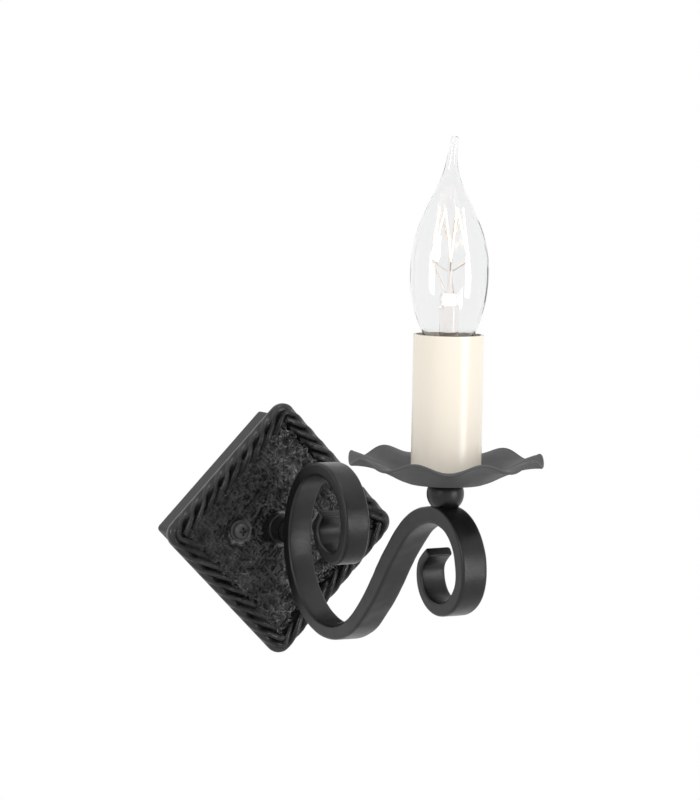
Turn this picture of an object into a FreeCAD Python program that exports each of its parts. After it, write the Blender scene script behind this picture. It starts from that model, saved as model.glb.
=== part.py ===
"""Wrought-iron torch sconce: cast rope-edged plate, forged scroll arm, drip pan, candle sleeve and lamp.

Row frame, millimetres: the origin is where the wall strap's fixings meet the wall, +Z is up, the wall
lies in the plane Y = 0, and the light stands out along -Y. The plate is a square on its point.
"""

import FreeCAD
import Part
import math
import os

Vector = FreeCAD.Vector

# ---------------------------------------------------------------- wall box and cast plate
BOX_SIDE = 80.0
BOX_DEPTH = 11.0
BOX_WALL = 1.2
BOX_CORNER_R = 2.0
BOX_FLANGE = 5.0
PLATE_SIDE = 90.4
PLATE_SKIRT_DEPTH = 6.5
PLATE_FIELD_DEPTH = 9.2
PLATE_FIELD_THICK = 4.0
PLATE_RIM_WALL = 4.0
ROPE_R = 5.6
ROPE_CREST = 5.1
ROPE_GROOVE_R = 1.5
ROPE_STRANDS = 9
ROPE_SLANT_DEG = 52.0
STRAP_LENGTH = 60.0
STRAP_WIDTH = 14.0
STRAP_THICK = 2.0
WALL_SLOT_SPACING = 26.0
WALL_SLOT_LENGTH = 10.0
WALL_SLOT_WIDTH = 4.5
STRAP_CABLE_HOLE_R = 3.0
SCREW_SPACING = 46.0
SCREW_R = 2.0
SCREW_TAP_R = 1.7
SCREW_HOLE_R = 2.25
SCREW_HEAD_R = 4.2
SCREW_HEAD_HIGH = 3.6
SCREW_RECESS_WIDE = 4.6
SCREW_RECESS_SLOT = 1.1
SCREW_RECESS_DEEP = 1.8
SCREW_POINT_BACK = 0.6
WASHER_R = 5.2
WASHER_THICK = 0.9

# ---------------------------------------------------------------- stem between plate and arm
THREAD_R = 5.0
THREAD_BORE_R = 3.5
THREAD_CLEAR = 0.1
STEM_BACK_DEPTH = 10.5
STEM_NUT_FLATS = 14.0
STEM_NUT_THICK = 3.0
LOCK_WASHER_R = 8.6
LOCK_WASHER_THICK = 0.8
LOCK_WASHER_TEETH = 12
COLLAR_R = 6.3
COLLAR_NECK_R = 5.4
COLLAR_LENGTH = 8.4
COLLAR_EDGE_R = 1.0
COLLAR_GROOVE_WIDE = 1.0
ROSETTE_R = 7.4
ROSETTE_THICK = 1.6

# ---------------------------------------------------------------- scroll arm
ARM_WIDTH = 13.0
ARM_WALL = 1.2
ARM_EDGE_R = 1.2
ARM_HOLE_R = 3.5
# Stations of the bar's centre line: reach from the wall, height, heading in degrees in the arm's own plane
# (0 is towards the wall, 90 is up), and the bar's thickness there. The bar thins towards both curled tips.
FRONT_TIP = (171.8, 8.4, -35.0, 4.2)
FRONT_REAR = (164.6, -1.5, -90.0, 4.8)
FRONT_FOOT = (180.5, -16.3, -180.0, 5.9)
FRONT_NOSE = (198.9, 1.2, -270.0, 7.1)
FRONT_CREST = (175.9, 25.4, -360.0, 7.8)
SWEEP_MIDDLE = (129.4, -8.0, -415.0, 9.2)
BEND_FOOT = (81.5, -42.0, -360.0, 6.9)
LOOP_REAR = (40.2, 0.0, -270.0, 6.6)
LOOP_CREST = (71.0, 34.6, -180.0, 6.5)
LOOP_NOSE = (96.1, 9.5, -90.0, 6.5)
COIL_FOOT = (84.6, -6.4, 0.0, 6.1)
COIL_REAR = (69.3, 5.6, 90.0, 4.9)
COIL_TIP = (73.6, 13.6, 128.0, 4.2)
WIREWAY_OVERRUN_DEG = 9.0

# ---------------------------------------------------------------- ball, pan and its fixing
BALL_R = 8.4
BALL_HEIGHT = 35.0
PAN_SEAT = 39.6
PAN_THICK = 1.2
PAN_HOLE_R = 5.3
PAN_LOBES = 9
PAN_LOBE_HIGH = 2.0
PAN_LOW_POINT_DEG = -30.0
PAN_RIM_R = 43.6
# Radius and height above the pan's seat of its underside, from the flat middle to the rim.
PAN_PROFILE = ((17.0, 0.0), (21.0, 1.5), (26.0, 4.1), (33.0, 7.4), (39.0, 9.2), (PAN_RIM_R, 10.0))
PAN_STUD_FOOT = 32.5
PAN_NUT_FLATS = 14.0
PAN_NUT_THICK = 3.0

# ---------------------------------------------------------------- candle sleeve and lampholder
SLEEVE_R = 15.75
SLEEVE_WALL = 1.25
SLEEVE_LENGTH = 65.4
HOLDER_R = 13.4
HOLDER_WALL = 1.8
HOLDER_ENTRY_R = 8.5
HOLDER_BASE_HIGH = 14.0
HOLDER_BARREL_HIGH = 25.0
HOLDER_RIBS = 8
HOLDER_RIB_HIGH = 0.7
SHELL_R = 8.2
SHELL_WALL = 0.5
SHELL_HIGH = 19.0
TERMINAL_SPREAD = 6.0
TERMINAL_PIN_R = 1.3
TERMINAL_PIN_CLEAR = 0.8
TERMINAL_BLOCK_SIDE = 4.4
TERMINAL_BLOCK_HIGH = 5.0
TERMINAL_BLOCK_GAP = 0.3
TONGUE_THICK = 0.4
TONGUE_WIDE = 4.0
CONTACT_RISE = 5.0

# ---------------------------------------------------------------- lamp
CAP_R = 6.9
CAP_WALL = 0.4
CAP_HIGH = 17.0
CAP_THREAD_PITCH = 2.8
CAP_THREAD_TURNS = 5
CAP_THREAD_DEEP = 0.7
CAP_COLLAR_R = 7.3
CAP_INSULATOR_HIGH = 2.8
CAP_CONTACT_R = 2.2
CAP_CONTACT_HIGH = 1.2
LAMP_SEAT = 76.5
GLASS_WALL = 0.7
# Height above the cap's rim, radius, and how far the drawn tip leans over at that height.
GLASS_PROFILE = (
    (0.0, 6.6, 0.0),
    (4.0, 8.6, 0.0),
    (8.5, 11.3, 0.0),
    (13.0, 13.3, 0.0),
    (19.5, 15.6, 0.0),
    (26.5, 17.1, 0.0),
    (35.0, 17.6, 0.0),
    (44.5, 17.0, 0.0),
    (54.5, 14.7, 0.0),
    (64.5, 10.6, 0.1),
    (70.0, 7.9, 0.3),
    (75.0, 5.5, 0.6),
    (79.5, 3.8, 1.0),
    (84.0, 2.75, 1.5),
    (89.5, 2.1, 2.3),
    (96.5, 1.6, 3.4),
)
TIP_LEAN_TOWARDS_DEG = -35.0
STEM_FOOT_GAP = 1.0
STEM_FLARE_HIGH = 7.0
STEM_TUBE_R = 4.3
STEM_TUBE_HIGH = 26.0
STEM_PINCH_WIDE = 8.4
STEM_PINCH_THICK = 3.0
STEM_PINCH_HIGH = 7.0
STEM_ROD_R = 1.0
STEM_ROD_HIGH = 26.0
LOW_HOOKS_RISE = 10.0
HIGH_HOOKS_DROP = 2.0
HOOK_ROOT_GAP = 0.05
HOOK_END_GAP = 0.2
WIRE_SUPPORT_R = 0.3
WIRE_LEAD_R = 0.35
FILAMENT_R = 0.35
FILAMENT_PEAKS = 5
FILAMENT_LOW_R = 9.5
FILAMENT_HIGH_R = 5.2
FILAMENT_LOW = 42.0
FILAMENT_HIGH = 65.0
FILAMENT_SWEEP_DEG = 300.0

# ---------------------------------------------------------------- wiring
LEAD_R = 1.1
LEAD_SPREAD = 1.25
LEAD_TURN_BEFORE_ARM = 1.7
LEAD_DROP_Z = 9.0
LEAD_BEND_BOX_Y = -7.2
LEAD_GRIP = 1.0
EARTH_DROP_Z = 7.0
EARTH_CROSS_Z = 2.5
EARTH_LIE_Z = -2.0
EARTH_R = 1.1
BLOCK_POLES = 3
BLOCK_PITCH = 9.0
BLOCK_LENGTH = 29.0
BLOCK_HIGH = 15.0
BLOCK_DEEP = 11.5
BLOCK_FOOT = 13.0
BLOCK_TUBE_R = 2.4
BLOCK_TUBE_BORE = 1.4
BLOCK_SCREW_R = 1.3
BLOCK_SCREW_SPREAD = 8.0
BLOCK_FIT = 0.1
BLOCK_TUBE_INSET = 0.8
EARTH_SPOT = (-13.0, -11.0)
EARTH_RING_R = 4.0
EARTH_RING_THICK = 0.8
EARTH_SCREW_HEAD_R = 3.2
EARTH_SCREW_HEAD_HIGH = 2.2

# ---------------------------------------------------------------- derived places
PLATE_BACK = -BOX_DEPTH
FIELD_FRONT = PLATE_BACK - PLATE_FIELD_DEPTH
FIELD_BACK = FIELD_FRONT + PLATE_FIELD_THICK
ROPE_CENTRE = PLATE_SIDE / 2 - ROPE_R
ROPE_CENTRE_Y = FIELD_FRONT - ROPE_CREST + ROPE_R
ARM_BACK = -LOOP_REAR[0] + LOOP_REAR[3] / 2
CANDLE_Y = -FRONT_CREST[0]
CREST_TOP = FRONT_CREST[1] + FRONT_CREST[3] / 2
PAN_TOP = PAN_SEAT + PAN_THICK
HOLDER_FOOT = PAN_TOP + PAN_NUT_THICK
BARREL_FOOT = LAMP_SEAT - CONTACT_RISE
HOLDER_BASE_FOOT = BARREL_FOOT - HOLDER_BASE_HIGH
CAP_FOOT = LAMP_SEAT + CAP_CONTACT_HIGH + CAP_INSULATOR_HIGH
CAP_RIM = CAP_FOOT + CAP_HIGH
STEM_PRESS_TOP = CAP_RIM + STEM_FOOT_GAP + STEM_TUBE_HIGH
BLOCK_BACK = FIELD_BACK + BLOCK_DEEP
BLOCK_MID_Y = FIELD_BACK + BLOCK_DEEP / 2


# ---------------------------------------------------------------- small shapes
def rod(radius, start, end):
    """A round bar between two points."""
    run = end - start
    return Part.makeCylinder(radius, run.Length, start, run)


def upright(radius, foot, top, y=CANDLE_Y, x=0.0):
    """A round bar standing on the candle's axis."""
    return rod(radius, Vector(x, y, foot), Vector(x, y, top))


def outward(radius, back, front, x=0.0, z=0.0):
    """A round bar lying along Y, square to the wall."""
    return rod(radius, Vector(x, back, z), Vector(x, front, z))


def diamond_prism(side, back, front, corner_r):
    """A square bar on its point, between two depths, with its long edges rounded."""
    half = side / 2
    bar = Part.makeBox(side, abs(front - back), side, Vector(-half, min(back, front), -half))
    if corner_r > 0:
        long_edges = [e for e in bar.Edges if abs(e.tangentAt(e.FirstParameter).y) > 0.9]
        bar = bar.makeFillet(corner_r, long_edges)
    return on_point(bar)


def on_point(shape):
    """Turns a square-set shape onto its point."""
    turned = shape.copy()
    turned.rotate(Vector(0, 0, 0), Vector(0, 1, 0), 45)
    return turned


def square_wire(side, y, corner_r):
    """A rounded square outline, square-set, in the plane at y."""
    half, inner = side / 2, side / 2 - corner_r
    diagonal = corner_r * math.sqrt(0.5)
    edges = []
    for quarter in range(4):
        turn = FreeCAD.Rotation(Vector(0, 1, 0), 90.0 * quarter)

        def place(u, v):
            return turn.multVec(Vector(u, y, v))

        edges.append(Part.makeLine(place(-inner, half), place(inner, half)))
        arc = Part.Arc(
            place(inner, half), place(inner + diagonal, inner + diagonal), place(half, inner)
        )
        edges.append(arc.toShape())
    return Part.Wire(Part.__sortEdges__(edges))


def hexagon(flats, back, front, axis_y):
    """A hexagonal nut blank along Y where axis_y is true, or else along Z on the candle's axis."""
    corner = flats / math.sqrt(3)
    points = []
    for step in range(7):
        angle = math.radians(60 * step)
        across, along = corner * math.cos(angle), corner * math.sin(angle)
        points.append(
            Vector(across, back, along) if axis_y else Vector(across, CANDLE_Y + along, back)
        )
    face = Part.Face(Part.makePolygon(points))
    run = Vector(0, front - back, 0) if axis_y else Vector(0, 0, front - back)
    return face.extrude(run)


# ---------------------------------------------------------------- routes
def unit(vector):
    """The same direction, one long."""
    return vector * (1.0 / vector.Length)


def tangent_arc(start, direction, end):
    """The arc from start, leaving along direction, to end, with the direction it arrives in."""
    chord = end - start
    normal = direction.cross(chord)
    half = math.atan2(normal.Length, direction.dot(chord))
    if half < 1e-5:
        return Part.LineSegment(start, end), unit(chord)
    side = unit(chord.cross(normal))
    middle = start + chord * 0.5 + side * (chord.Length / 2 * math.tan(half / 2))
    arrival = unit(chord) * (2 * math.cos(half)) - unit(direction)
    return Part.Arc(start, middle, end), unit(arrival)


def two_arcs(start, leaving, end, arriving):
    """Two arcs that meet smoothly and join two places, each with its own direction."""
    gap = end - start
    spread = 2.0 * (1.0 - leaving.dot(arriving))
    pull = 2.0 * gap.dot(leaving + arriving)
    reach = gap.dot(gap)
    if abs(spread) < 1e-9:
        length = reach / pull
    else:
        length = (-pull + math.sqrt(pull * pull + 4.0 * spread * reach)) / (2.0 * spread)
    joint = (start + end + (leaving - arriving) * length) * 0.5
    first, onward = tangent_arc(start, leaving, joint)
    second, _ = tangent_arc(joint, onward, end)
    return [first, second]


def rounded_route(points, radii):
    """Straight runs through points, joined by arcs of the given radii at the inner points."""
    curves, start = [], points[0]
    for before, corner, after, radius in zip(points, points[1:], points[2:], radii):
        arriving, leaving = unit(corner - before), unit(after - corner)
        turn = arriving.getAngle(leaving)
        trim = radius * math.tan(turn / 2)
        first, last = corner - arriving * trim, corner + leaving * trim
        bisector = unit(leaving - arriving)
        middle = corner + bisector * (radius / math.cos(turn / 2) - radius)
        curves += [Part.LineSegment(start, first), Part.Arc(first, middle, last)]
        start = last
    return curves + [Part.LineSegment(start, points[-1])]


def swept_rod(curves, radius):
    """A round wire along a smooth chain of lines and arcs."""
    path = Part.Wire([curve.toShape() for curve in curves])
    start = path.Edges[0].valueAt(path.Edges[0].FirstParameter)
    direction = path.Edges[0].tangentAt(path.Edges[0].FirstParameter)
    ring = Part.Wire([Part.makeCircle(radius, start, direction)])
    return path.makePipeShell([ring], True, False)


# ---------------------------------------------------------------- arm geometry
def arm_place(station, side_shift=0.0, x=0.0):
    """A station's point and heading; side_shift moves it to the left of the heading."""
    reach, height, heading, _ = station
    angle = math.radians(heading)
    along = Vector(0, math.cos(angle), math.sin(angle))
    left = Vector(0, -math.sin(angle), math.cos(angle))
    return Vector(x, -reach, height) + left * side_shift, along


def band_edge(stations, share, inset, x=0.0):
    """One edge of the bar, or its middle where share is 0, as arcs through the stations."""
    curves = []
    for here, there in zip(stations, stations[1:]):
        start, leaving = arm_place(here, share * (here[3] / 2 - inset), x)
        end, arriving = arm_place(there, share * (there[3] / 2 - inset), x)
        curves += two_arcs(start, leaving, end, arriving)
    return curves


def band(stations, width, inset):
    """The bar between its two edges, drawn in by inset, width wide and centred on the arm's plane."""
    left = band_edge(stations, 1.0, inset, -width / 2)
    right = band_edge(stations, -1.0, inset, -width / 2)
    caps = [
        Part.LineSegment(side_end(left), side_end(right)),
        Part.LineSegment(left[0].StartPoint, right[0].StartPoint),
    ]
    outline = Part.Wire(Part.__sortEdges__([c.toShape() for c in left + right + caps]))
    return Part.Face(outline).extrude(Vector(width, 0, 0))


def side_end(curves):
    """Where a chain of curves ends."""
    return curves[-1].EndPoint


def turned_station(station, radius, sweep_deg):
    """The station a short way along an arc that leaves station, or reaches it where sweep is negative."""
    reach, height, heading, thick = station
    angle, sweep = math.radians(heading), math.radians(sweep_deg)
    y = -reach + radius * (math.sin(angle + sweep) - math.sin(angle))
    z = height - radius * (math.cos(angle + sweep) - math.cos(angle))
    return (-y, z, heading + sweep_deg, thick)


def arc_radius(curve, left_turn):
    """A curve's radius, negative where it turns right."""
    radius = curve.toShape().Curve.Radius
    return radius if left_turn else -radius


ARM_STATIONS = (
    FRONT_TIP, FRONT_REAR, FRONT_FOOT, FRONT_NOSE, FRONT_CREST, SWEEP_MIDDLE, BEND_FOOT,
    LOOP_REAR, LOOP_CREST, LOOP_NOSE, COIL_FOOT, COIL_REAR, COIL_TIP,
)


def wireway_stations():
    """The hollow stretch of the bar, from just past the ball to just past the wall stem."""
    before_crest = band_edge((FRONT_NOSE, FRONT_CREST), 0.0, 0.0)[-1]
    after_rear = band_edge((LOOP_REAR, LOOP_CREST), 0.0, 0.0)[0]
    first = turned_station(FRONT_CREST, arc_radius(before_crest, False), WIREWAY_OVERRUN_DEG * 1.6)
    last = turned_station(LOOP_REAR, arc_radius(after_rear, True), WIREWAY_OVERRUN_DEG)
    return (first, FRONT_CREST, SWEEP_MIDDLE, BEND_FOOT, LOOP_REAR, last)


def scroll_arm():
    """The forged bar: one tapering band with rounded edges, hollow between the ball and the wall stem."""
    bar = band(ARM_STATIONS, ARM_WIDTH, 0.0)
    rims = [
        e for e in bar.Edges if e.BoundBox.XLength < 1e-6 and e.Curve.TypeId != "Part::GeomLine"
    ]
    bar = bar.makeFillet(ARM_EDGE_R, rims)
    bar = bar.cut(band(wireway_stations(), ARM_WIDTH - 2 * ARM_WALL, ARM_WALL))
    wall_hole = outward(ARM_HOLE_R, ARM_BACK + 1, ARM_BACK - LOOP_REAR[3] / 2)
    ball_hole = upright(ARM_HOLE_R, FRONT_CREST[1], CREST_TOP + 1)
    return bar.cut(wall_hole).cut(ball_hole)


# ---------------------------------------------------------------- wall side
def wall_box():
    """Square sheet-steel surround: open to the wall, with a flange in front that carries the cast plate."""
    outer = diamond_prism(BOX_SIDE, 0, PLATE_BACK, BOX_CORNER_R)
    inner = diamond_prism(
        BOX_SIDE - 2 * BOX_WALL, 1, PLATE_BACK + BOX_WALL, BOX_CORNER_R - BOX_WALL
    )
    window = diamond_prism(BOX_SIDE - 2 * BOX_FLANGE, 1, PLATE_BACK - 1, BOX_CORNER_R)
    return outer.cut(inner).cut(window)


def rope_side():
    """One side of the rope edge, square-set along X at the top: a round bead with slanted grooves."""
    run = ROPE_CENTRE
    bead = rod(ROPE_R, Vector(-run, ROPE_CENTRE_Y, run), Vector(run, ROPE_CENTRE_Y, run))
    corner = Part.makeSphere(ROPE_R, Vector(run, ROPE_CENTRE_Y, run))
    return bead.fuse(corner)


def rope_grooves():
    """The grooves between the strands of one side, lying across the bead at a slant."""
    pitch = 2 * ROPE_CENTRE / ROPE_STRANDS
    slant = math.radians(ROPE_SLANT_DEG)
    across = Vector(math.sin(slant), 0, math.cos(slant)) * (ROPE_R * 2.6)
    crest = ROPE_CENTRE_Y - ROPE_R - ROPE_GROOVE_R * 0.25
    grooves = []
    for strand in range(ROPE_STRANDS + 1):
        middle = Vector(-ROPE_CENTRE + pitch * strand, crest, ROPE_CENTRE)
        grooves.append(rod(ROPE_GROOVE_R, middle - across, middle + across))
    return grooves


def cast_plate():
    """The cast face: a flared skirt, a recessed field and a rope edge, hollow behind."""
    skirt_front = PLATE_BACK - PLATE_SKIRT_DEPTH
    flare = Part.makeLoft(
        [
            square_wire(BOX_SIDE, PLATE_BACK, BOX_CORNER_R),
            square_wire(PLATE_SIDE - 2, skirt_front, ROPE_R),
        ], True, True
    )
    slab_side = 2 * ROPE_CENTRE
    slab = Part.makeBox(
        slab_side,
        skirt_front - FIELD_FRONT,
        slab_side,
        Vector(-ROPE_CENTRE, FIELD_FRONT, -ROPE_CENTRE),
    )
    plate = flare.fuse(slab)
    ring = []
    for quarter in range(4):
        side = rope_side()
        side.rotate(Vector(0, 0, 0), Vector(0, 1, 0), 90 * quarter)
        ring.append(side)
    plate = plate.fuse(ring).removeSplitter()
    grooves = []
    for quarter in range(4):
        for groove in rope_grooves():
            groove.rotate(Vector(0, 0, 0), Vector(0, 1, 0), 90 * quarter)
            grooves.append(groove)
    plate = plate.cut(grooves)
    hollow_side = BOX_SIDE - 2 * PLATE_RIM_WALL
    hollow = Part.makeBox(
        hollow_side,
        PLATE_BACK - FIELD_BACK + 1,
        hollow_side,
        Vector(-hollow_side / 2, FIELD_BACK, -hollow_side / 2),
    )
    plate = on_point(plate.cut(hollow))
    plate = plate.cut(outward(THREAD_R + THREAD_CLEAR, FIELD_BACK + 1, FIELD_FRONT - 1))
    for side in (-1, 1):
        plate = plate.cut(
            outward(SCREW_HOLE_R, FIELD_BACK + 1, FIELD_FRONT - 1, side * SCREW_SPACING / 2)
        )
    block_screw = outward(
        BLOCK_SCREW_R,
        FIELD_BACK + 0.5,
        FIELD_FRONT + 1.2,
        BLOCK_PITCH / 2,
        BLOCK_FOOT + BLOCK_HIGH / 2,
    )
    earth_screw = outward(
        SCREW_TAP_R, FIELD_BACK + 0.5, FIELD_FRONT + 1.2, EARTH_SPOT[0], EARTH_SPOT[1]
    )
    return plate.cut(block_screw).cut(earth_screw)


def wall_strap():
    """The steel strap on the wall: two slots for wall screws and two tapped holes for the plate screws."""
    strap = Part.makeBox(
        STRAP_LENGTH,
        STRAP_THICK,
        STRAP_WIDTH,
        Vector(-STRAP_LENGTH / 2, -STRAP_THICK, -STRAP_WIDTH / 2),
    )
    corners = [e for e in strap.Edges if abs(e.tangentAt(e.FirstParameter).y) > 0.9]
    strap = strap.makeFillet(STRAP_WIDTH / 4, corners)
    straight = (WALL_SLOT_LENGTH - WALL_SLOT_WIDTH) / 2
    for side in (-1, 1):
        centre = side * WALL_SLOT_SPACING / 2
        slot = Part.makeBox(
            2 * straight,
            STRAP_THICK + 2,
            WALL_SLOT_WIDTH,
            Vector(centre - straight, -STRAP_THICK - 1, -WALL_SLOT_WIDTH / 2),
        )
        for end in (-1, 1):
            slot = slot.fuse(
                outward(WALL_SLOT_WIDTH / 2, 1, -STRAP_THICK - 1, centre + end * straight)
            )
        strap = strap.cut(slot).cut(
            outward(SCREW_TAP_R + 0.35, 1, -STRAP_THICK - 1, side * SCREW_SPACING / 2)
        )
    return strap.cut(outward(STRAP_CABLE_HOLE_R, 1, -STRAP_THICK - 1))


def fixing_screw(side):
    """A domed cross-head machine screw from the cast plate into the wall strap."""
    x = side * SCREW_SPACING / 2
    seat = FIELD_FRONT - WASHER_THICK
    bulge = (SCREW_HEAD_R ** 2 + SCREW_HEAD_HIGH ** 2) / (2 * SCREW_HEAD_HIGH)
    ball = Part.makeSphere(bulge, Vector(x, seat - SCREW_HEAD_HIGH + bulge, 0))
    head = ball.common(outward(SCREW_HEAD_R, seat, seat - SCREW_HEAD_HIGH - 1, x))
    tip = seat - SCREW_HEAD_HIGH
    for wide, high in (
        (SCREW_RECESS_WIDE, SCREW_RECESS_SLOT), (SCREW_RECESS_SLOT, SCREW_RECESS_WIDE)
    ):
        head = head.cut(
            Part.makeBox(
                wide, SCREW_RECESS_DEEP + 1, high, Vector(x - wide / 2, tip - 1, -high / 2)
            )
        )
    shank = outward(SCREW_R, seat, -SCREW_POINT_BACK, x)
    return head.fuse(shank).removeSplitter()


def screw_washers():
    """The two plain washers under the fixing screws."""
    made = []
    for side in (-1, 1):
        x = side * SCREW_SPACING / 2
        disc = outward(WASHER_R, FIELD_FRONT, FIELD_FRONT - WASHER_THICK, x)
        made.append(
            disc.cut(outward(SCREW_HOLE_R, FIELD_FRONT + 1, FIELD_FRONT - WASHER_THICK - 1, x))
        )
    return Part.makeCompound(made)


def stem_tube():
    """The hollow threaded stem that carries the arm and leads the wires through the plate."""
    back = -STEM_BACK_DEPTH
    tube = outward(THREAD_R, back, ARM_BACK)
    return tube.cut(outward(THREAD_BORE_R, back + 1, ARM_BACK - 1)).cut(
        band(ARM_STATIONS, ARM_WIDTH, 0.0)
    )


def nut(flats, back, front, axis_y):
    """A plain hexagon nut, chamfered on its outer face, on the stem or on the pan's stud."""
    blank = hexagon(flats, back, front, axis_y)
    corner = flats / math.sqrt(3)
    if axis_y:
        dome = Part.makeCone(
            corner + 0.2,
            flats / 2 + 0.2,
            abs(front - back),
            Vector(0, front, 0),
            Vector(0, back - front, 0),
        )
        bore = outward(THREAD_R + THREAD_CLEAR, back + 1, front - 1)
    else:
        dome = Part.makeCone(
            corner + 0.2,
            flats / 2 + 0.2,
            abs(front - back),
            Vector(0, CANDLE_Y, back),
            Vector(0, 0, 1),
        )
        bore = upright(THREAD_R + THREAD_CLEAR, back - 1, front + 1)
    return blank.common(dome).cut(bore)


def lock_washer():
    """Toothed washer behind the cast plate, under the stem's nut."""
    front, back = FIELD_BACK, FIELD_BACK + LOCK_WASHER_THICK
    disc = outward(LOCK_WASHER_R, back, front)
    teeth = []
    for tooth in range(LOCK_WASHER_TEETH):
        angle = 2 * math.pi * tooth / LOCK_WASHER_TEETH
        x, z = LOCK_WASHER_R * math.cos(angle), LOCK_WASHER_R * math.sin(angle)
        teeth.append(outward(1.0, back + 1, front - 1, x, z))
    return disc.cut(teeth).cut(outward(THREAD_R + THREAD_CLEAR, back + 1, front - 1))


def stem_rosette():
    """The small flat disc between the cast field and the collar."""
    disc = outward(ROSETTE_R, FIELD_FRONT, FIELD_FRONT - ROSETTE_THICK)
    front_edge = [
        e
        for e in disc.Edges
        if abs(e.BoundBox.YMin - (FIELD_FRONT - ROSETTE_THICK)) < 1e-6 and e.BoundBox.YLength < 1e-6
    ]
    disc = disc.makeFillet(ROSETTE_THICK / 2, front_edge)
    return disc.cut(
        outward(THREAD_R + THREAD_CLEAR, FIELD_FRONT + 1, FIELD_FRONT - ROSETTE_THICK - 1)
    )


def arm_collar():
    """The turned collar that locks the arm on its stem: a neck and two rounded rings, fitted to the bar."""
    back = FIELD_FRONT - ROSETTE_THICK
    ring_back = ARM_BACK + COLLAR_LENGTH
    neck = outward(COLLAR_NECK_R, back, ring_back)
    ring = outward(COLLAR_R, ring_back, ARM_BACK - ARM_EDGE_R)
    back_rim = [
        e for e in ring.Edges if abs(e.BoundBox.YMax - ring_back) < 1e-6 and e.BoundBox.YLength < 1e-6
    ]
    ring = ring.makeFillet(COLLAR_EDGE_R, back_rim)
    middle = ARM_BACK + COLLAR_LENGTH / 2
    groove = outward(COLLAR_R + 1, middle + COLLAR_GROOVE_WIDE / 2, middle - COLLAR_GROOVE_WIDE / 2)
    groove = groove.cut(outward(COLLAR_R - 0.6, middle + 1, middle - 1))
    collar = neck.fuse(ring).removeSplitter().cut(groove)
    collar = collar.cut(outward(THREAD_R + THREAD_CLEAR, back + 1, ARM_BACK - 3))
    return collar.cut(band(ARM_STATIONS, ARM_WIDTH, 0.0))


# ---------------------------------------------------------------- candle side
def ball():
    """The drilled iron ball welded on the scroll's crest, flat on top where the pan sits."""
    whole = Part.makeSphere(BALL_R, Vector(0, CANDLE_Y, BALL_HEIGHT))
    above_seat = Part.makeBox(
        4 * BALL_R, 4 * BALL_R, 2 * BALL_R, Vector(-2 * BALL_R, CANDLE_Y - 2 * BALL_R, PAN_SEAT)
    )
    body = whole.cut(above_seat).cut(band(ARM_STATIONS, ARM_WIDTH, 0.0))
    body = body.cut(upright(ARM_HOLE_R, CREST_TOP - 4, PAN_SEAT + 1))
    return body.cut(upright(THREAD_R + THREAD_CLEAR, PAN_STUD_FOOT, PAN_SEAT + 1))


def pan_ring(radius, height, wave):
    """A closed ring of the pan, waving up and down by wave."""
    count = 4 * PAN_LOBES
    points = []
    for step in range(count):
        angle = 2 * math.pi * step / count
        lift = -wave * math.cos(PAN_LOBES * (angle - math.radians(PAN_LOW_POINT_DEG)))
        x, y = radius * math.sin(angle), CANDLE_Y - radius * math.cos(angle)
        points.append(Vector(x, y, PAN_SEAT + height + lift))
    curve = Part.BSplineCurve()
    curve.interpolate(points, PeriodicFlag=True)
    return Part.Wire([curve.toShape()])


def drip_pan():
    """The dished pan with a waved rim, of even sheet, clamped between the ball and the nut."""
    inner_r = PAN_PROFILE[0][0]
    rings = []
    for radius, height in PAN_PROFILE:
        share = ((radius - inner_r) / (PAN_RIM_R - inner_r)) ** 2
        rings.append(pan_ring(radius, height, PAN_LOBE_HIGH * share))
    sheet = Vector(0, 0, PAN_THICK)
    dish = Part.makeLoft(rings, False, False).Faces[0].extrude(sheet)
    middle = Part.Face(rings[0]).extrude(sheet)
    return dish.fuse(middle).cut(upright(PAN_HOLE_R, PAN_SEAT - 1, PAN_TOP + 1))


def pan_stud():
    """Hollow threaded stud from the ball, through the pan, into the lampholder."""
    top = HOLDER_BASE_FOOT
    return upright(THREAD_R, PAN_STUD_FOOT, top).cut(
        upright(THREAD_BORE_R, PAN_STUD_FOOT - 1, top + 1)
    )


def candle_sleeve():
    """The cream tube that stands in the pan and hides the lampholder."""
    top = PAN_TOP + SLEEVE_LENGTH
    return upright(SLEEVE_R, PAN_TOP, top).cut(
        upright(SLEEVE_R - SLEEVE_WALL, PAN_TOP - 1, top + 1)
    )


def holder_base():
    """The lampholder's lower half: threaded entry, wiring chamber and the floor for the contacts."""
    entry = upright(HOLDER_ENTRY_R, HOLDER_FOOT, HOLDER_BASE_FOOT)
    cup = upright(HOLDER_R, HOLDER_BASE_FOOT, BARREL_FOOT)
    chamber = upright(
        HOLDER_R - HOLDER_WALL, HOLDER_BASE_FOOT + HOLDER_WALL, BARREL_FOOT - HOLDER_WALL
    )
    bore = upright(THREAD_R + THREAD_CLEAR, HOLDER_FOOT - 1, HOLDER_BASE_FOOT + HOLDER_WALL + 0.5)
    body = entry.fuse(cup).removeSplitter().cut(chamber).cut(bore)
    for side in (-1, 1):
        body = body.cut(
            upright(
                TERMINAL_PIN_R + BLOCK_FIT,
                BARREL_FOOT - HOLDER_WALL - 1,
                BARREL_FOOT + 1,
                x=side * TERMINAL_SPREAD,
            )
        )
    return body


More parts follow.
